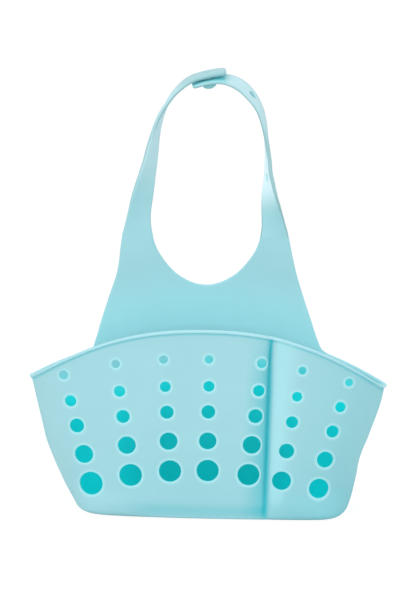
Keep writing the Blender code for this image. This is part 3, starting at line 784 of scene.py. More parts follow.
def inside_look(spot, lit=1.0):
    """Painted light of a place inside the pocket: paler near the rim, painted shade deep and saturated
    further down, and a painted glow for light through the walls.
    """
    share = min(1.0, max(-1.0, spot.x / RIM_HALF_WIDTH))
    start = curve_through(DEPTH_START, share)
    depth = smoothstep(start, start + DEPTH_RUN, rim_height(share) - spot.z)
    side = smoothstep(*SIDE_LIFT_SHARES, abs(share))
    painted_through_glow = mix(curve_through(MIDDLE_LIFT, spot.z), curve_through(SIDE_LIFT, spot.z), side)
    right = smoothstep(*RIGHT_CUT_SHARES, share)
    painted_through_glow *= 1 - RIGHT_LIFT_CUT * right * smoothstep(*RIGHT_CUT_HEIGHTS, spot.z)
    return Vector((0.0, 0.0, depth, max(0.0, painted_through_glow) * lit))


def summed_tones(tones, height, share):
    """All the tones of a table at one place of the wall."""
    return sum(tone * band(height, *heights) * band(share, *shares) for tone, heights, shares in tones)


def painted_wall_light(spot):
    """Painted light at a place of the wall: painted shade in the crease, painted shadow under the lip,
    painted highlight and painted shade at the foot, and painted shade on the darker right side.
    """
    x, height = spot.x, spot.z
    share = share_at(x, height)
    # Painted shade in the crease, where shade falls: wide and soft left of its line, short right of it
    away = x - curve_through(CREASE_LINE, height)
    peak, wide = curve_through(CREASE_TONE, height), curve_through(CREASE_SHADE, height)
    if away < 0:
        crease = wide * max(0.0, 1 + away / CREASE_SHADE_REACH) ** CREASE_SHADE_POWER
        crease += (peak - wide) * max(0.0, 1 + away / CREASE_CORE_REACH) ** CREASE_CORE_POWER
    else:
        reach = curve_through(CREASE_TONE_REACH, height)
        crease = peak * (1 - smoothstep(CREASE_TONE_START, reach, away))
    # Painted highlight right of the crease, where the wall turns towards the light
    glow_end = mix(*CREASE_GLOW_ENDS, height / RIM_APEX)
    painted_highlight = CREASE_GLOW * band(away, *CREASE_GLOW_START, CREASE_GLOW_FADES_FROM, glow_end)
    painted_highlight *= smoothstep(*CREASE_GLOW_HEIGHTS, height)
    painted_highlight += summed_tones(WALL_GLOWS, height, share)
    # Painted shadow in a line under the lip
    line = band(rim_height(share) - height, *LIP_LINE)
    line *= mix(*LIP_LINE_TONES, smoothstep(*LIP_LINE_SHARES, share))
    painted_shade = crease + line + summed_tones(WALL_SHADES, height, share)
    return Vector((painted_highlight, min(1.0, painted_shade), 0.0, 0.0))


def wall_looks(spot):
    """Painted light and shade of the wall's outer and inner face at a place."""
    return painted_wall_light(spot), inside_look(spot, NEAR_SIDE_LIFT)


def cell_share(line, height):
    """Share of the width of a line between two columns of holes."""
    if CELL_FOOT_SHARES[line] is None:
        beyond = line - CREASE_CELLS[1]
        strip = beyond * curve_through(CREASE_STRIPS[max(0, beyond)], height)
        return share_at(curve_through(CREASE_LINE, height) + strip, height)
    return mix(CELL_FOOT_SHARES[line], CELL_RIM_SHARES[line], height / RIM_APEX)


def column_share(column, height):
    """Share of the width of a fine column of the wall."""
    if column < END_STEPS:
        inner = math.asin(-cell_share(0, height))
        return -math.sin(mix(math.pi / 2, inner, column / END_STEPS))
    column -= END_STEPS
    if column > WALL_CELLS * CELL_STEPS:
        inner = math.asin(cell_share(WALL_CELLS, height))
        return math.sin(mix(inner, math.pi / 2, (column - WALL_CELLS * CELL_STEPS) / END_STEPS))
    cell, step = divmod(column, CELL_STEPS)
    if step == 0:
        return cell_share(cell, height)
    return mix(cell_share(cell, height), cell_share(cell + 1, height), step / CELL_STEPS)


def row_line(line, share):
    """Height of a line between two rows of holes, or of the wall's foot or top."""
    if line == 0:
        return BOTTOM_RADIUS
    if line > len(CELL_HEIGHTS):
        return rim_height(share) - RIM_ROWS_BELOW
    arch = CELL_ARCHES[line - 1] * min(CELL_ARCH_LIMIT, share * share)
    return max(CELL_HEIGHTS[line - 1] - arch - CELL_TILT * share, BOTTOM_RADIUS + FIRST_LINE_ABOVE_FOOT)


def row_height(row, share):
    """Height of a fine row of the wall at a share of its width."""
    if row <= FOOT_STEPS:
        return mix(row_line(0, share), row_line(1, share), row / FOOT_STEPS)
    cell, step = divmod(row - FOOT_STEPS, CELL_STEPS)
    if cell >= len(HOLES):
        beyond = (row - PIERCED_ROWS) / RIM_STEPS
        return rim_height(share) - mix(RIM_ROWS_BELOW, LIP_HEIGHT / 2, beyond)
    if step == 0:
        return row_line(cell + 1, share)
    return mix(row_line(cell + 1, share), row_line(cell + 2, share), step / CELL_STEPS)


def in_hole_column(i):
    """True for the fine columns of the wall that lie in a column of holes."""
    cell = (i - END_STEPS) // CELL_STEPS
    return 0 <= cell < WALL_CELLS and cell not in CREASE_CELLS


def build_front_wall():
    """The bowed sheet with its 35 holes, its crease and its turned-in foot."""
    sheet = Sheet()
    grid = {}
    for i in range(WALL_COLUMNS + 1):
        within = in_hole_column(i) and (i - END_STEPS) % CELL_STEPS
        for j in range(WALL_ROWS + 1):
            if within and FOOT_STEPS < j < PIERCED_ROWS and (j - FOOT_STEPS) % CELL_STEPS:
                continue
            height = row_height(j, 0.0)
            for _ in range(GRID_ROUNDS):
                share = column_share(i, height)
                height = row_height(j, share)
            front, back = wall_point(share, height), wall_point(share, height, WALL)
            grid[i, j] = sheet.point(front, back, *wall_looks(front))
    for i in range(WALL_COLUMNS):
        for j in range(WALL_ROWS):
            if not (in_hole_column(i) and FOOT_STEPS <= j < PIERCED_ROWS):
                sheet.grid_face(grid, i, j)
    columns = [cell for cell in range(WALL_CELLS) if cell not in CREASE_CELLS]
    for column, cell in enumerate(columns):
        for row, holes in enumerate(HOLES):
            left = END_STEPS + cell * CELL_STEPS
            low = FOOT_STEPS + (len(HOLES) - 1 - row) * CELL_STEPS
            border = [grid[spot] for spot in cell_border(left, low, CELL_STEPS, CELL_STEPS)]
            flats = [[(side[i].x, side[i].z) for i in border] for side in (sheet.front, sheet.back)]
            x, height, diameter = holes[column]
            pierced_cell(
                sheet, border, flats, (x, height), diameter / 2, wall_seen, wall_looks, HOLE_EDGE_GLOW,
                VIEW_SLOPE,
            )
    add_wall_foot(sheet, grid)
    add_wall_seams(sheet, grid)
    return solid_from_sheet("front_wall_shell", sheet)


def add_wall_foot(sheet, grid):
    """The rounded turn from the wall into the floor."""
    for i in range(WALL_COLUMNS + 1):
        share = column_share(i, BOTTOM_RADIUS)
        for step in range(1, FILLET_STEPS + 1):
            angle = math.pi / 2 * (1 - step / FILLET_STEPS)
            spots = []
            for radius in (BOTTOM_RADIUS, BOTTOM_RADIUS - WALL):
                inset = BOTTOM_RADIUS - radius * math.sin(angle)
                height = BOTTOM_RADIUS - radius * math.cos(angle)
                spots.append(wall_point(share, height, inset))
            grid[i, -step] = sheet.point(spots[0], spots[1], *wall_looks(spots[0]))
        run = BOTTOM_RADIUS + BOTTOM_RUN
        front, back = wall_point(share, 0.0, run), wall_point(share, WALL, run)
        grid[i, -FILLET_STEPS - 1] = sheet.point(front, back, PLAIN, inside_look(back, NEAR_SIDE_LIFT))
    for i in range(WALL_COLUMNS):
        for j in range(-FILLET_STEPS - 1, 0):
            sheet.grid_face(grid, i, j)


def add_wall_seams(sheet, grid):
    """The short straight runs from the wall's ends to the back sheet."""
    rows = range(-FILLET_STEPS - 1, WALL_ROWS + 1)
    for end, beyond in ((0, -1), (WALL_COLUMNS, WALL_COLUMNS + 1)):
        for j in rows:
            here = grid[end, j]
            front, back = sheet.front[here].copy(), sheet.back[here].copy()
            front.y = back.y = SEAM_Y + SEAM_OVERLAP
            grid[beyond, j] = sheet.point(front, back, sheet.look[here], sheet.far_look[here])
    for i in (-1, WALL_COLUMNS):
        for j in rows[:-1]:
            sheet.grid_face(grid, i, j)


# Floor


def drained(i, j):
    """True for the fine columns and rows of the floor that lie in a cell with a drain hole."""
    return i // FLOOR_COLUMN_STEPS in DRAIN_COLUMNS[j // FLOOR_ROW_STEPS]


def floor_looks(spot):
    return inside_look(spot, NEAR_SIDE_LIFT), PLAIN


def build_floor():
    """A D-shaped plate inside the wall's foot, with four drain holes in front and six behind."""
    inset = BOTTOM_RADIUS + BOTTOM_RUN - FLOOR_OVERLAP
    columns = FLOOR_COLUMNS * FLOOR_COLUMN_STEPS
    rows = len(DRAIN_COLUMNS) * FLOOR_ROW_STEPS
    sheet = Sheet()
    grid = {}

    def place(flat, face):
        return Vector((flat[0], flat[1], WALL * (1 - face)))

    for i in range(columns + 1):
        x = mix(-FLOOR_REACH, FLOOR_REACH, i / columns)
        front_y = wall_point(share_at(x, 0.0, inset), 0.0, inset).y
        for j in range(rows + 1):
            if i % FLOOR_COLUMN_STEPS and j % FLOOR_ROW_STEPS and drained(i, j):
                continue
            flat = (x, mix(front_y, SEAM_Y + SEAM_OVERLAP, j / rows))
            top = place(flat, 0)
            grid[i, j] = sheet.point(top, place(flat, 1), *floor_looks(top))
    for i in range(columns):
        for j in range(rows):
            if not drained(i, j):
                sheet.grid_face(grid, i, j)
    for column in range(FLOOR_COLUMNS):
        for row, drains in enumerate(DRAIN_COLUMNS):
            if column not in drains:
                continue
            left, low = column * FLOOR_COLUMN_STEPS, row * FLOOR_ROW_STEPS
            border = [grid[spot] for spot in cell_border(left, low, FLOOR_COLUMN_STEPS, FLOOR_ROW_STEPS)]
            flat = [(sheet.front[point].x, sheet.front[point].y) for point in border]
            middle = (sum(x for x, _ in flat) / len(flat), sum(y for _, y in flat) / len(flat))
            pierced_cell(sheet, border, (flat, flat), middle, DRAIN_RADIUS, place, floor_looks, 0.0)
    return solid_from_sheet("pocket_floor", sheet)


# Back sheet


def shoulder_x(side, height):
    """Half width of the back sheet where it slopes from the corner up to the neck."""
    corner, neck = SHOULDER_CORNERS[side], SHOULDER_NECKS[side]
    low, high = corner[1] - SHOULDER_EDGE_DROP, neck[1] - SHOULDER_EDGE_DROP
    return mix(corner[0], neck[0], (height - low) / (high - low))


def back_edge(side, height):
    """How far the back sheet reaches to one side."""
    if height < BOTTOM_RADIUS:
        turn = math.sqrt(max(0.0, 1 - (1 - height / BOTTOM_RADIUS) ** 2))
        foot = BOTTOM_RADIUS * (1 - turn)
        return side_edge(side, height) - foot
    if height < SHOULDER_CORNERS[side][1] - SHOULDER_EDGE_DROP:
        return side_edge(side, height)
    if height < NECK_LINES[side][0][0]:
        return shoulder_x(side, height)
    return curve_through(NECK_LINES[side], height)


def side_edge(side, height):
    return half_width(height / CORNER_HEIGHTS[side]) + curve_through(SIDE_SAG[side], height)


def back_rows():
    """Rows of the back sheet: height in the middle, height at the side, share of the notch."""
    rows = [(height, height, 0.0) for height in BACK_HEIGHTS]
    start = BACK_HEIGHTS[-1]
    for i in range(1, YOKE_ROWS + 1):
        share = i / YOKE_ROWS
        middle = mix(start, NOTCH[0][1] - WALL / 2, share)
        rows.append((middle, mix(start, YOKE_EDGE_AT_NOTCH, share), 0.0))
    for i in range(1, NOTCH_ROWS + 1):
        share = i / NOTCH_ROWS
        rows.append((None, mix(YOKE_EDGE_AT_NOTCH, ROOT_HEIGHT, share), share))
    return rows


def notch_point(side, share):
    """A point of the U notch, from its bottom up one side."""
    table = table_along(NOTCH)
    at = share * table[-1][0]
    here = curve_through(table, at)
    before = max(0.0, at - NOTCH_SLOPE_RUN)
    along = curve_through(table, at + NOTCH_SLOPE_RUN) - curve_through(table, before)
    if share in (0, 1):
        along = Vector((1 - share, share))
    outward = Vector((along.y, -along.x)).normalized()
    half, height = here + outward * (WALL / 2)
    return NOTCH_MIDDLE + side * half, height


def back_sheet_look(spot):
    """Painted light of the back sheet's front: painted shade of the pocket's inside, and a painted glow on
    the yoke lit over the rim.
    """
    above = spot.z - rim_height(min(1.0, max(-1.0, spot.x / RIM_HALF_WIDTH)))
    over_rim = 1 - smoothstep(*YOKE_LIT, above)
    yoke = Vector((0.0, 0.0, YOKE_DEPTH * over_rim, YOKE_LIFT * over_rim))
    return inside_look(spot).lerp(yoke, smoothstep(*YOKE_STARTS, above))


def build_back_sheet():
    """Back wall, neck and yoke as one sheet."""
    # Painted shade along the sheet's outer edge
    sheet = Sheet(lambda spot, share: BACK_EDGE_TONE * math.sin(math.pi * share))
    half = WALL / 2
    made = []
    shared = {}
    for middle, outer, notch in back_rows():
        pair = []
        for side in (-1, 1):
            edge = side * (back_edge(side, outer) - half)
            inner = notch_point(side, notch) if middle is None else (curve_through(LEAN, middle), middle)
            ids = []
            for i in range(BACK_STEPS + 1):
                share = i / BACK_STEPS
                x, z = mix(inner[0], edge, share), mix(inner[1], outer, share)
                key = (round(x, 6), round(z, 6))
                if key not in shared:
                    front = Vector((x, PANEL_Y - half, z))
                    back = Vector((x, PANEL_Y + half, z))
                    shared[key] = sheet.point(front, back, back_sheet_look(front))
                ids.append(shared[key])
            pair.append(ids[::-1] if side < 0 else ids)
        made.append(pair)
    for low, high in zip(made, made[1:]):
        for part in (0, 1):
            sheet.quads(low[part], high[part])
    for part in (0, 1):
        sheet.seam.update(made[-1][part])
    return solid_from_sheet("back_sheet", sheet)


# Straps


def strap_place(track, side, distance, across, face):
    """A place on a strap's face: face 0 is the one that looks forward at the yoke."""
    here = curve_through(track, distance)
    if distance <= STRAP_SLOPE_RUN:
        ahead = Vector((0, 1, 0, 0, 0))
    elif distance >= track[-1][0] - STRAP_SLOPE_RUN:
        ahead = here - curve_through(track, distance - STRAP_END_RUN)
    else:
        ahead = curve_through(track, distance + STRAP_SLOPE_RUN)
        ahead = ahead - curve_through(track, distance - STRAP_SLOPE_RUN)
    along = Vector((ahead[0], 0, ahead[1])).normalized()
    level = Vector((along.z, 0, -along.x))
    turn = math.radians(here[3])
    wide = level * math.cos(turn) - Vector((0, side, 0)) * math.sin(turn)
    out = wide.cross(along)
    half = here[4] / 2
    centre = Vector((here[0], PANEL_Y, here[1]))
    return centre + wide * across + out * (half if face == 0 else -half)


def strap_half_width(track, distance):
    """Half the flat part of the strap's width, with small round corners at the free end."""
    here = curve_through(track, distance)
    half, thick = here[2] / 2, here[4] / 2
    corner = STRAP_END_CORNER - thick
    left = track[-1][0] - thick - distance
    if left < corner:
        half -= corner - math.sqrt(max(0.0, corner**2 - (corner - max(0.0, left)) ** 2))
    return half - thick


def strap_sections(track, holes):
    """Distances of the strap's cross lines, with gaps left for the holes."""
    end = track[-1][0] - STRAP_END_CORNER
    marks = [0.0]
    stops = sorted((hole - STRAP_HOLE_HALF_LENGTH, hole + STRAP_HOLE_HALF_LENGTH) for hole in holes)
    at = 0.0
    for low, high in stops + [(end, None)]:
        count = max(1, round((low - at) / STRAP_STATION))
        marks += [mix(at, low, i / count) for i in range(1, count + 1)]
        if high is not None:
            marks += [mix(low, high, i / STRAP_STEPS) for i in range(1, STRAP_STEPS + 1)]
            at = high
    return marks


def strap_edge_painted_shade(side, spot, share):
    """Painted shade on a strap's edge, which greys it: over the crown it darkens its underside.

    Further down the right strap's edge is shaded all through, and the left one's on its outside.
    """
    below = STRAP_EDGE_TONE if side > 0 else LEFT_EDGE_TONE * smoothstep(*LEFT_EDGE_SHARES, share)
    crown = STRAP_EDGE_TONE - CROWN_EDGE_DROP * smoothstep(*CROWN_EDGE_SHARES, share)
    return mix(below, crown, smoothstep(*CROWN_HEIGHTS, spot.z))


def strap_looks(track, side, distance):
    """Painted light of a strap's inner and outer face: a painted highlight where it stands edge-on,
    painted shade and glow in the overlap, and painted shade on the left strap's top over the crown.
    """
    x, height, _, turn, _ = curve_through(track, distance)
    bright = band(turn, *BRIGHT_TURNS) if side > 0 else 0.0
    highlight = TURNED_TONE * smoothstep(*TURNED_FROM, turn) + BRIGHT_TONE * bright
    face = Vector((highlight, 0.0, 0.0, BRIGHT_LIFT * bright))
    lapped = 0.0
    if height > OVERLAP_ABOVE:
        lapped = smoothstep(*OVERLAP_ENDS[0], x) * smoothstep(*OVERLAP_ENDS[1], x)
    hidden = face.lerp(STRAP_OVERLAP, lapped)
    if side > 0:
        return face, hidden
    top = STRAP_TOP_TONE * smoothstep(*STRAP_TOP_STARTS, x) if height > STRAP_TOP_ABOVE else 0.0
    outer = face * (1 - top)
    outer[1] = top
    return hidden, outer


def build_strap(name, knots, side, holes):
    """One strap of the loop from the yoke to its free end. holes are (distance, diameter)."""
    track = table_along(knots)
    sheet = Sheet(lambda spot, share: strap_edge_painted_shade(side, spot, share))
    marks = strap_sections(track, [distance for distance, _ in holes])
    total = track[-1][0]
    thick = knots[-1][4] / 2
    marks += [mix(total - STRAP_END_CORNER, total - thick, share) for share in STRAP_END_MARKS]

    def hole_at(mark):
        reach = STRAP_HOLE_HALF_LENGTH - MARK_SLACK
        return next((hole for hole in holes if abs(mark - hole[0]) < reach), None)

    def laid_flat(i, j):
        half = strap_half_width(track, marks[j])
        return mix(-half, half, i / STRAP_STEPS), marks[j]

    def place(flat, face):
        return strap_place(track, side, flat[1], flat[0], face)

    far_row = 0 if side > 0 else STRAP_STEPS
    grid = {}
    for j, mark in enumerate(marks):
        for i in range(STRAP_STEPS + 1):
            if hole_at(mark) and 0 < i < STRAP_STEPS:
                continue
            near, far = strap_looks(track, side, mark)
            # Painted shade along the strap's far edge
            if i == far_row:
                far = far * STRAP_FAR_EDGE
                far[1] = STRAP_FAR_EDGE
            flat = laid_flat(i, j)
            grid[i, j] = sheet.point(place(flat, 0), place(flat, 1), near, far)
    j = 0
    while j < len(marks) - 1:
        hole = hole_at((marks[j] + marks[j + 1]) / 2)
        if not hole:
            for i in range(STRAP_STEPS):
                sheet.grid_face(grid, i, j)
            j += 1
            continue
        spots = cell_border(0, j, STRAP_STEPS, STRAP_STEPS)
        border = [grid[spot] for spot in spots]
        flat = [laid_flat(i, k) for i, k in spots]
        near, far = strap_looks(track, side, hole[0])
        centre = (0.0, hole[0])
        pierced_cell(
            sheet, border, (flat, flat), centre, hole[1] / 2, place, lambda spot: (near.copy(), far), 0.0
        )
        j += STRAP_STEPS
    sheet.seam.update(grid[i, 0] for i in range(STRAP_STEPS + 1))
    return solid_from_sheet(name, sheet)


def distance_at_x(knots, x):
    """Distance along a strap at which its last stretch passes an x."""
    track = table_along(knots)
    total = track[-1][0]
    steps = range(SEARCH_STEPS // 2, SEARCH_STEPS)
    best = min(steps, key=lambda i: abs(curve_through(track, total * i / SEARCH_STEPS)[0] - x))
    return total * best / SEARCH_STEPS


# Lips and stud


def ring_centre(ring):
    return sum(ring, Vector()) / len(ring)


def ring_faces(rings, sides):
    """Faces between rings of points that are numbered one ring after another."""
    faces = []
    for start in range(0, (rings - 1) * sides, sides):
        for i in range(sides):
            a, b = start + i, start + (i + 1) % sides
            faces.append((a, b, b + sides, a + sides))
    return faces


def dome(ring, beside):
    """Rings that close a bar's end: its last ring, drawn in and moved on away from the one beside."""
    centre = ring_centre(ring)
    way = (centre - ring_centre(beside)).normalized()
    size = sum((p - centre).length for p in ring) / len(ring)
    rings = []
    for share in DOME_SHARES:
        rise = size * math.sqrt(1 - share * share)
        rings.append([centre + (p - centre) * share + way * rise for p in ring])
    return rings


def lofted_bar(name, rings):
    """A round bar through rings of points, closed by domed ends."""
    stack = dome(rings[0], rings[1]) + rings + dome(rings[-1], rings[-2])[::-1]
    points = [point for ring in stack for point in ring]
    sides = len(rings[0])
    faces = ring_faces(len(stack), sides)
    faces.append(tuple(range(sides))[::-1])
    faces.append(tuple(range(len(points) - sides, len(points))))
    return made_mesh(name, points, faces, [PLAIN] * len(points))


def lip_ring(centre, out, up, deep, tall):
    """A rounded section: out and up are its axes, deep and tall its half sizes."""
    ring = []
    for i in range(LIP_SIDES):
        angle = 2 * math.pi * i / LIP_SIDES
        c, s = math.cos(angle), math.sin(angle)
        ring.append(
            centre
            + out * (deep * math.copysign(abs(c) ** LIP_SQUARENESS, c))
            + up * (tall * math.copysign(abs(s) ** LIP_SQUARENESS, s))
        )
    return ring


def build_front_lip():
    """The thick lip along the wall's arched top, standing out in front of it."""
    rings = []
    for i in range(LIP_STATIONS + 1):
        share = math.sin(math.pi * (i / LIP_STATIONS - 0.5)) * LIP_LAST_SHARE
        tall = LIP_HEIGHT / 2 * mix(LIP_END_TALL, 1.0, 1 - smoothstep(LIP_THINS_FROM, 1.0, abs(share)))
        height = rim_height(share) - tall
        low, high = max(-1.0, share - LIP_SLOPE_RUN), min(1.0, share + LIP_SLOPE_RUN)
        along = wall_point(high, height) - wall_point(low, height)
        out = Vector((along.y, -along.x, 0)).normalized()
        middle = (wall_point(share, height, WALL) + wall_point(share, height)) / 2
        centre = middle + out * LIP_STANDS_OUT
        centre.z = height
        rings.append(lip_ring(centre, out, UP, LIP_HALF_DEPTH, tall))
    for end, side in ((0, -1), (-1, 1)):
        centre = ring_centre(rings[end])
        extra = []
        for y in LIP_END_PLACES:
            spot = Vector((centre.x, y, centre.z))
            tall = LIP_HEIGHT / 2 * LIP_END_TALL
            extra.append(lip_ring(spot, Vector((side, 0, 0)), UP, LIP_HALF_DEPTH, tall))
        rings = rings + extra if side > 0 else extra[::-1] + rings
    return lofted_bar("front_lip", rings)


def build_shoulder_lip(side, name):
    """The low lip along one shoulder of the back sheet, from the corner in to the neck."""
    corner, neck = SHOULDER_CORNERS[side], SHOULDER_NECKS[side]
    start = Vector((corner[0], 0, corner[1]))
    end = Vector((neck[0] + REAR_LIP_PAST_NECK, 0, neck[1] - REAR_LIP_BELOW_NECK))
    slope = (end - start).normalized()
    up = Vector((slope.z * side, 0, abs(slope.x))).normalized()
    rings = []
    for i in range(REAR_LIP_STATIONS + 1):
        share = i / REAR_LIP_STATIONS
        spot = start.lerp(end, share)
        spot.z += SHOULDER_RISES[side] * 4 * share * (1 - share) - REAR_LIP_RADIUS
        spot.y = PANEL_Y + REAR_LIP_BACK
        spot.x *= side
        size = REAR_LIP_RADIUS * (REAR_LIP_SIZE - REAR_LIP_TAPER * share)
        rings.append(lip_ring(spot, Vector((0, -side, 0)), up, size, size))
    return lofted_bar(name, rings)


def build_stud():
    """The turned snap stud: nearly flush cap on top, shank through both straps, mushroom head."""
    track = table_along(LEFT_STRAP)
    distance = distance_at_x(LEFT_STRAP, STUD_X)
    here = curve_through(track, distance)
    before = curve_through(track, distance - STUD_SLOPE_RUN)
    ahead = curve_through(track, distance + STUD_SLOPE_RUN) - before
    along = Vector((ahead[0], 0, ahead[1])).normalized()
    up = Vector((-along.z, 0, along.x))
    centre = Vector((here[0], PANEL_Y, here[1]))
    points, looks = [], []
    for radius, rise in STUD_PROFILE:
        for i in range(STUD_SIDES):
            angle = 2 * math.pi * i / STUD_SIDES
            reach = along * (radius * math.cos(angle)) + Vector((0, radius * math.sin(angle), 0))
            points.append(centre + up * rise + reach)
            # Painted shade, half on the cap and full on the head
            looks.append(STUD_CAP if rise > 0 else STUD_HEAD)
    faces = [face[::-1] for face in ring_faces(len(STUD_PROFILE), STUD_SIDES)]
    return made_mesh("stud_button", points, faces, looks)


# Materials


def new_group(name, inputs, outputs):
    """A shader node group and the nodes that hold its inputs and its outputs."""
    group = bpy.data.node_groups.new(name, "ShaderNodeTree")
    for word, kind, value in inputs:
        socket = group.interface.new_socket(word, in_out="INPUT", socket_type=kind)
        socket.default_value = value
    for word, kind in outputs:
        group.interface.new_socket(word, in_out="OUTPUT", socket_type=kind)
    return group, group.nodes.new("NodeGroupInput"), group.nodes.new("NodeGroupOutput")


def calculated(tree, operation, *values):
    """Result of a math node, whose inputs are numbers or the sockets of other nodes."""
    node = tree.nodes.new("ShaderNodeMath")
    node.operation = operation
    for socket, value in zip(node.inputs, values):
        if isinstance(value, bpy.types.NodeSocket):
            tree.links.new(value, socket)
        else:
            socket.default_value = value
    return node.outputs[0]


def mixed_colour(tree, factor, first, second):
    """The first colour, turned towards the second by a factor. All three are sockets."""
    node = tree.nodes.new("ShaderNodeMix")
    node.data_type = "RGBA"
    for word, socket in (("Factor", factor), ("A", first), ("B", second)):
        tree.links.new(socket, node.inputs[word])
    return node.outputs["Result"]


def scaled_colour(tree, colour, factor):
    """A colour made stronger or weaker by a factor. Both are sockets."""
    node = tree.nodes.new("ShaderNodeVectorMath")
    node.operation = "SCALE"
    tree.links.new(colour, node.inputs[0])
    tree.links.new(factor, node.inputs["Scale"])
    return node.outputs[0]


def mesh_value(tree, word):
    """One of the looks that each point of a mesh carries."""
    node = tree.nodes.new("ShaderNodeAttribute")
    node.attribute_name = word
    return node.outputs["Fac"]


def placed_noise(tree, scale):
    """A noise texture laid over the object in metres, with its scale from a socket."""
    place = tree.nodes.new("ShaderNodeTexCoord")
    node = tree.nodes.new("ShaderNodeTexNoise")
    tree.links.new(place.outputs["Object"], node.inputs["Vector"])
    tree.links.new(scale, node.inputs["Scale"])
    return node


def moulded_tone_and_painted_light_group():
    """Colour of the moulding: mottled aqua, with painted shade deeper inside the pocket, painted shade
    where the points ask for it and a painted highlight paler at cut edges; and a painted glow.
    """
    group, given, made = new_group(
        "moulded_tone_and_painted_light",
        (
            ("Aqua", "NodeSocketColor", AQUA),
            ("Painted Pocket Shade", "NodeSocketColor", POCKET_SHADE_AQUA),
            ("Painted Highlight", "NodeSocketColor", HIGHLIGHT_AQUA),
            ("Shaded", "NodeSocketColor", SHADED_AQUA),
            ("Mottle", "NodeSocketFloat", 0.06),
            ("Mottle Size", "NodeSocketFloat", 45.0),
        ),
        (("Colour", "NodeSocketColor"), ("Painted Through Glow", "NodeSocketColor")),
    )
    cloud = placed_noise(group, given.outputs["Mottle Size"])
    cloud.inputs["Detail"].default_value = 3.0
    mottle = calculated(group, "SUBTRACT", cloud.outputs["Fac"], 0.5)
    mottle = calculated(group, "MULTIPLY", mottle, given.outputs["Mottle"])
    level = calculated(group, "ADD", mottle, 1.0)
    colour = given.outputs["Aqua"]
    # Painted pocket shade, painted shade and painted highlight, mixed over the aqua
    for word, towards in (("depth", "Painted Pocket Shade"), ("painted_shade", "Shaded"), ("painted_highlight", "Painted Highlight")):
        colour = mixed_colour(group, mesh_value(group, word), colour, given.outputs[towards])
    colour = scaled_colour(group, colour, level)
    # Painted glow for light through the walls, sent on to the emission
    through = scaled_colour(group, colour, mesh_value(group, "painted_through_glow"))
    group.links.new(colour, made.inputs["Colour"])
    group.links.new(through, made.inputs["Painted Through Glow"])
    return group


def soft_skin_group():
    """The faint unevenness of soft moulding: a fine grain over slow waves, as a height."""
    group, given, made = new_group(
        "soft_skin",
        (("Grain", "NodeSocketFloat", 900.0), ("Wave", "NodeSocketFloat", 60.0)),
        (("Height", "NodeSocketFloat"),),
    )
    grain, wave = [placed_noise(group, given.outputs[word]).outputs["Fac"] for word in ("Grain", "Wave")]
    height = calculated(group, "MULTIPLY_ADD", grain, SKIN_GRAIN, wave)
    group.links.new(height, made.inputs["Height"])
    return group


def moulding_material(name, groups, roughness, aqua=AQUA, highlight=HIGHLIGHT_AQUA, shaded=SHADED_AQUA):
    """Soft moulding in its own aqua, painted highlight and painted shade colours, with the tone, painted
    light and skin that all the pieces share.
    """
    made = bpy.data.materials.new(name)
    made.use_nodes = True
    nodes, links = made.node_tree.nodes, made.node_tree.links
    shader = nodes["Principled BSDF"]
    # The emission carries the painted glow that stands in for light through the soft walls
    shader.inputs["Emission Strength"].default_value = SHINE_THROUGH
    shader.inputs["Roughness"].default_value = roughness
    shader.inputs["Specular IOR Level"].default_value = SPECULAR
    tone = nodes.new("ShaderNodeGroup")
    tone.node_tree = groups["tone"]
    for word, colour in (("Aqua", aqua), ("Painted Highlight", highlight), ("Shaded", shaded)):
        tone.inputs[word].default_value = colour
    skin = nodes.new("ShaderNodeGroup")
    skin.node_tree = groups["skin"]
    raised = nodes.new("ShaderNodeBump")
    raised.inputs["Strength"].default_value = SKIN_STRENGTH
    raised.inputs["Distance"].default_value = SKIN_HEIGHT
    links.new(tone.outputs["Colour"], shader.inputs["Base Color"])
    links.new(tone.outputs["Painted Through Glow"], shader.inputs["Emission Color"])
    links.new(skin.outputs["Height"], raised.inputs["Height"])
    links.new(raised.outputs["Normal"], shader.inputs["Normal"])
    return made


# Stage


def build_stage():
    """A white floor that runs up behind the basket."""
    rows = [(SWEEP_FRONT, 0.0), (0.0, 0.0), (SWEEP_TURN, 0.0)]
    for i in range(1, SWEEP_STEPS + 1):
        angle = math.pi / 2 * i / SWEEP_STEPS
        rows.append((SWEEP_TURN + SWEEP_RADIUS * math.sin(angle), SWEEP_RADIUS * (1 - math.cos(angle))))
    rows.append((SWEEP_TURN + SWEEP_RADIUS, SWEEP_TOP))
    points = [(x, y, z) for y, z in rows for x in (-SWEEP_HALF_WIDTH, SWEEP_HALF_WIDTH)]
    faces = [(2 * i, 2 * i + 1, 2 * i + 3, 2 * i + 2) for i in range(len(rows) - 1)]
    mesh = bpy.data.meshes.new("white_sweep")
    mesh.from_pydata(points, [], faces)
    mesh.shade_smooth()
    sweep = new_object("white_sweep", mesh)
    sweep.location.z = -SWEEP_BELOW
    made = bpy.data.materials.new("white_paper")
    made.use_nodes = True
    tree = made.node_tree
    tree.nodes.clear()
    paper = tree.nodes.new("ShaderNodeBsdfDiffuse")
    paper.inputs["Color"].default_value = PAPER
    light = tree.nodes.new("ShaderNodeEmission")
    light.inputs["Strength"].default_value = PAPER_LIGHT
    path = tree.nodes.new("ShaderNodeLightPath")
    blend = tree.nodes.new("ShaderNodeMixShader")
    tree.links.new(
        calculated(tree, "MULTIPLY", path.outputs["Is Camera Ray"], PAPER_LIT_SHARE), blend.inputs["Fac"]
    )
    tree.links.new(paper.outputs[0], blend.inputs[1])
    tree.links.new(light.outputs[0], blend.inputs[2])
    out = tree.nodes.new("ShaderNodeOutputMaterial")
    tree.links.new(blend.outputs[0], out.inputs["Surface"])
    mesh.materials.append(made)


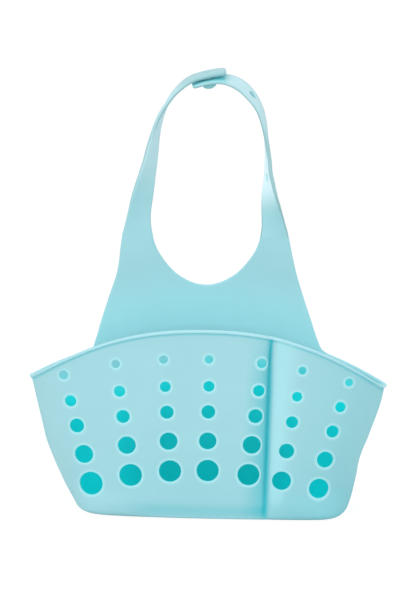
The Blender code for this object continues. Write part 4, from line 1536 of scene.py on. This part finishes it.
def build_light():
    """Even white light from all round, seen as white by the camera, and three soft lamps."""
    world = bpy.data.worlds.new("studio")
    bpy.context.scene.world = world
    world.use_nodes = True
    tree = world.node_tree
    back = tree.nodes["Background"]
    back.inputs["Color"].default_value = (1, 1, 1, 1)
    path = tree.nodes.new("ShaderNodeLightPath")
    strength = tree.nodes.new("ShaderNodeMapRange")
    strength.inputs["To Min"].default_value = WORLD_LIGHT
    strength.inputs["To Max"].default_value = 1.0
    seen = calculated(tree, "MAXIMUM", path.outputs["Is Camera Ray"], path.outputs["Is Glossy Ray"])
    tree.links.new(seen, strength.inputs["Value"])
    tree.links.new(strength.outputs[0], back.inputs["Strength"])
    for name, place, size, power in LAMPS:
        lamp = bpy.data.lights.new(name, "AREA")
        lamp.size = size
        lamp.energy = power
        holder = new_object(name, lamp)
        holder.location = place
        aim = LAMP_AIM - Vector(place)
        holder.rotation_euler = aim.to_track_quat("-Z", "Y").to_euler()


def build_camera():
    """The photograph's view: 8 degrees above level, turned a little in its own plane."""
    back = Vector((0, -math.cos(VIEW_RISE), math.sin(VIEW_RISE)))
    up = Vector((0, math.sin(VIEW_RISE), math.cos(VIEW_RISE)))
    right = Vector((1, 0, 0))
    turned_right = right * math.cos(VIEW_ROLL) + up * math.sin(VIEW_ROLL)
    turned_up = up * math.cos(VIEW_ROLL) - right * math.sin(VIEW_ROLL)
    lens = bpy.data.cameras.new("view")
    lens.lens = VIEW_LENS
    lens.sensor_width = VIEW_SENSOR_WIDTH
    camera = new_object("view", lens)
    turn = Matrix((turned_right, turned_up, back)).transposed().to_4x4()
    camera.matrix_world = Matrix.Translation(VIEW_TARGET + back * VIEW_DISTANCE) @ turn
    bpy.context.scene.camera = camera


def main():
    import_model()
    build_camera()
    build_light()
    build_stage()
    groups = {"tone": moulded_tone_and_painted_light_group(), "skin": soft_skin_group()}
    moulding = moulding_material("soft_aqua_moulding", groups, MATT)
    # The lip's aqua carries a painted highlight
    lip = moulding_material("highlighted_aqua_lip", groups, LIP_SATIN, LIP_HIGHLIGHT_AQUA)
    strap = moulding_material("soft_aqua_strap", groups, MATT, AQUA, STRAP_HIGHLIGHT, STRAP_EDGE_SHADE)
    # The stud's shaded colour is painted shade
    button = moulding_material("aqua_stud", groups, STUD_SATIN, AQUA, STRAP_HIGHLIGHT, STUD_SHADE_AQUA)

    wall = build_front_wall()
    floor = build_floor()
    front_lip = build_front_lip()
    left_lip = build_shoulder_lip(-1, "left_shoulder_lip")
    right_lip = build_shoulder_lip(1, "right_shoulder_lip")
    sheet = build_back_sheet()
    left = build_strap("left_strap", LEFT_STRAP, -1, [])
    seat = distance_at_x(RIGHT_STRAP, STUD_X)
    holes = [(seat, STUD_SEAT_DIAMETER)]
    holes += [(seat - FIRST_HOLE_AWAY - STRAP_HOLE_PITCH * i, STRAP_HOLE_DIAMETER) for i in (0, 1, 2)]
    right = build_strap("right_strap", RIGHT_STRAP, 1, sorted(holes))
    stud = build_stud()
    for piece, material in (
        (wall, moulding), (floor, moulding), (front_lip, lip), (left_lip, lip), (right_lip, lip),
        (sheet, moulding), (left, strap), (right, strap), (stud, button),
    ):
        piece.data.materials.append(material)
    for piece in (wall, floor, front_lip, left_lip, right_lip):
        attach(piece, "basket")
    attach(stud, "stud_end")
    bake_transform(sheet)
    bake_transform(left)
    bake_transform(right)
    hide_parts("front_wall")
    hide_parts("floor")
    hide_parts("front_rim")
    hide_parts("left_rear_rim")
    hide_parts("right_rear_rim")
    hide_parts("back_wall", "yoke")
    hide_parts("left_arm", "stud_end_strap")
    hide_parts("right_arm", "hole_end_strap")
    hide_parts("snap_stud")

    bpy.context.scene.view_settings.view_transform = "Standard"
    bpy.context.view_layer.update()


main()
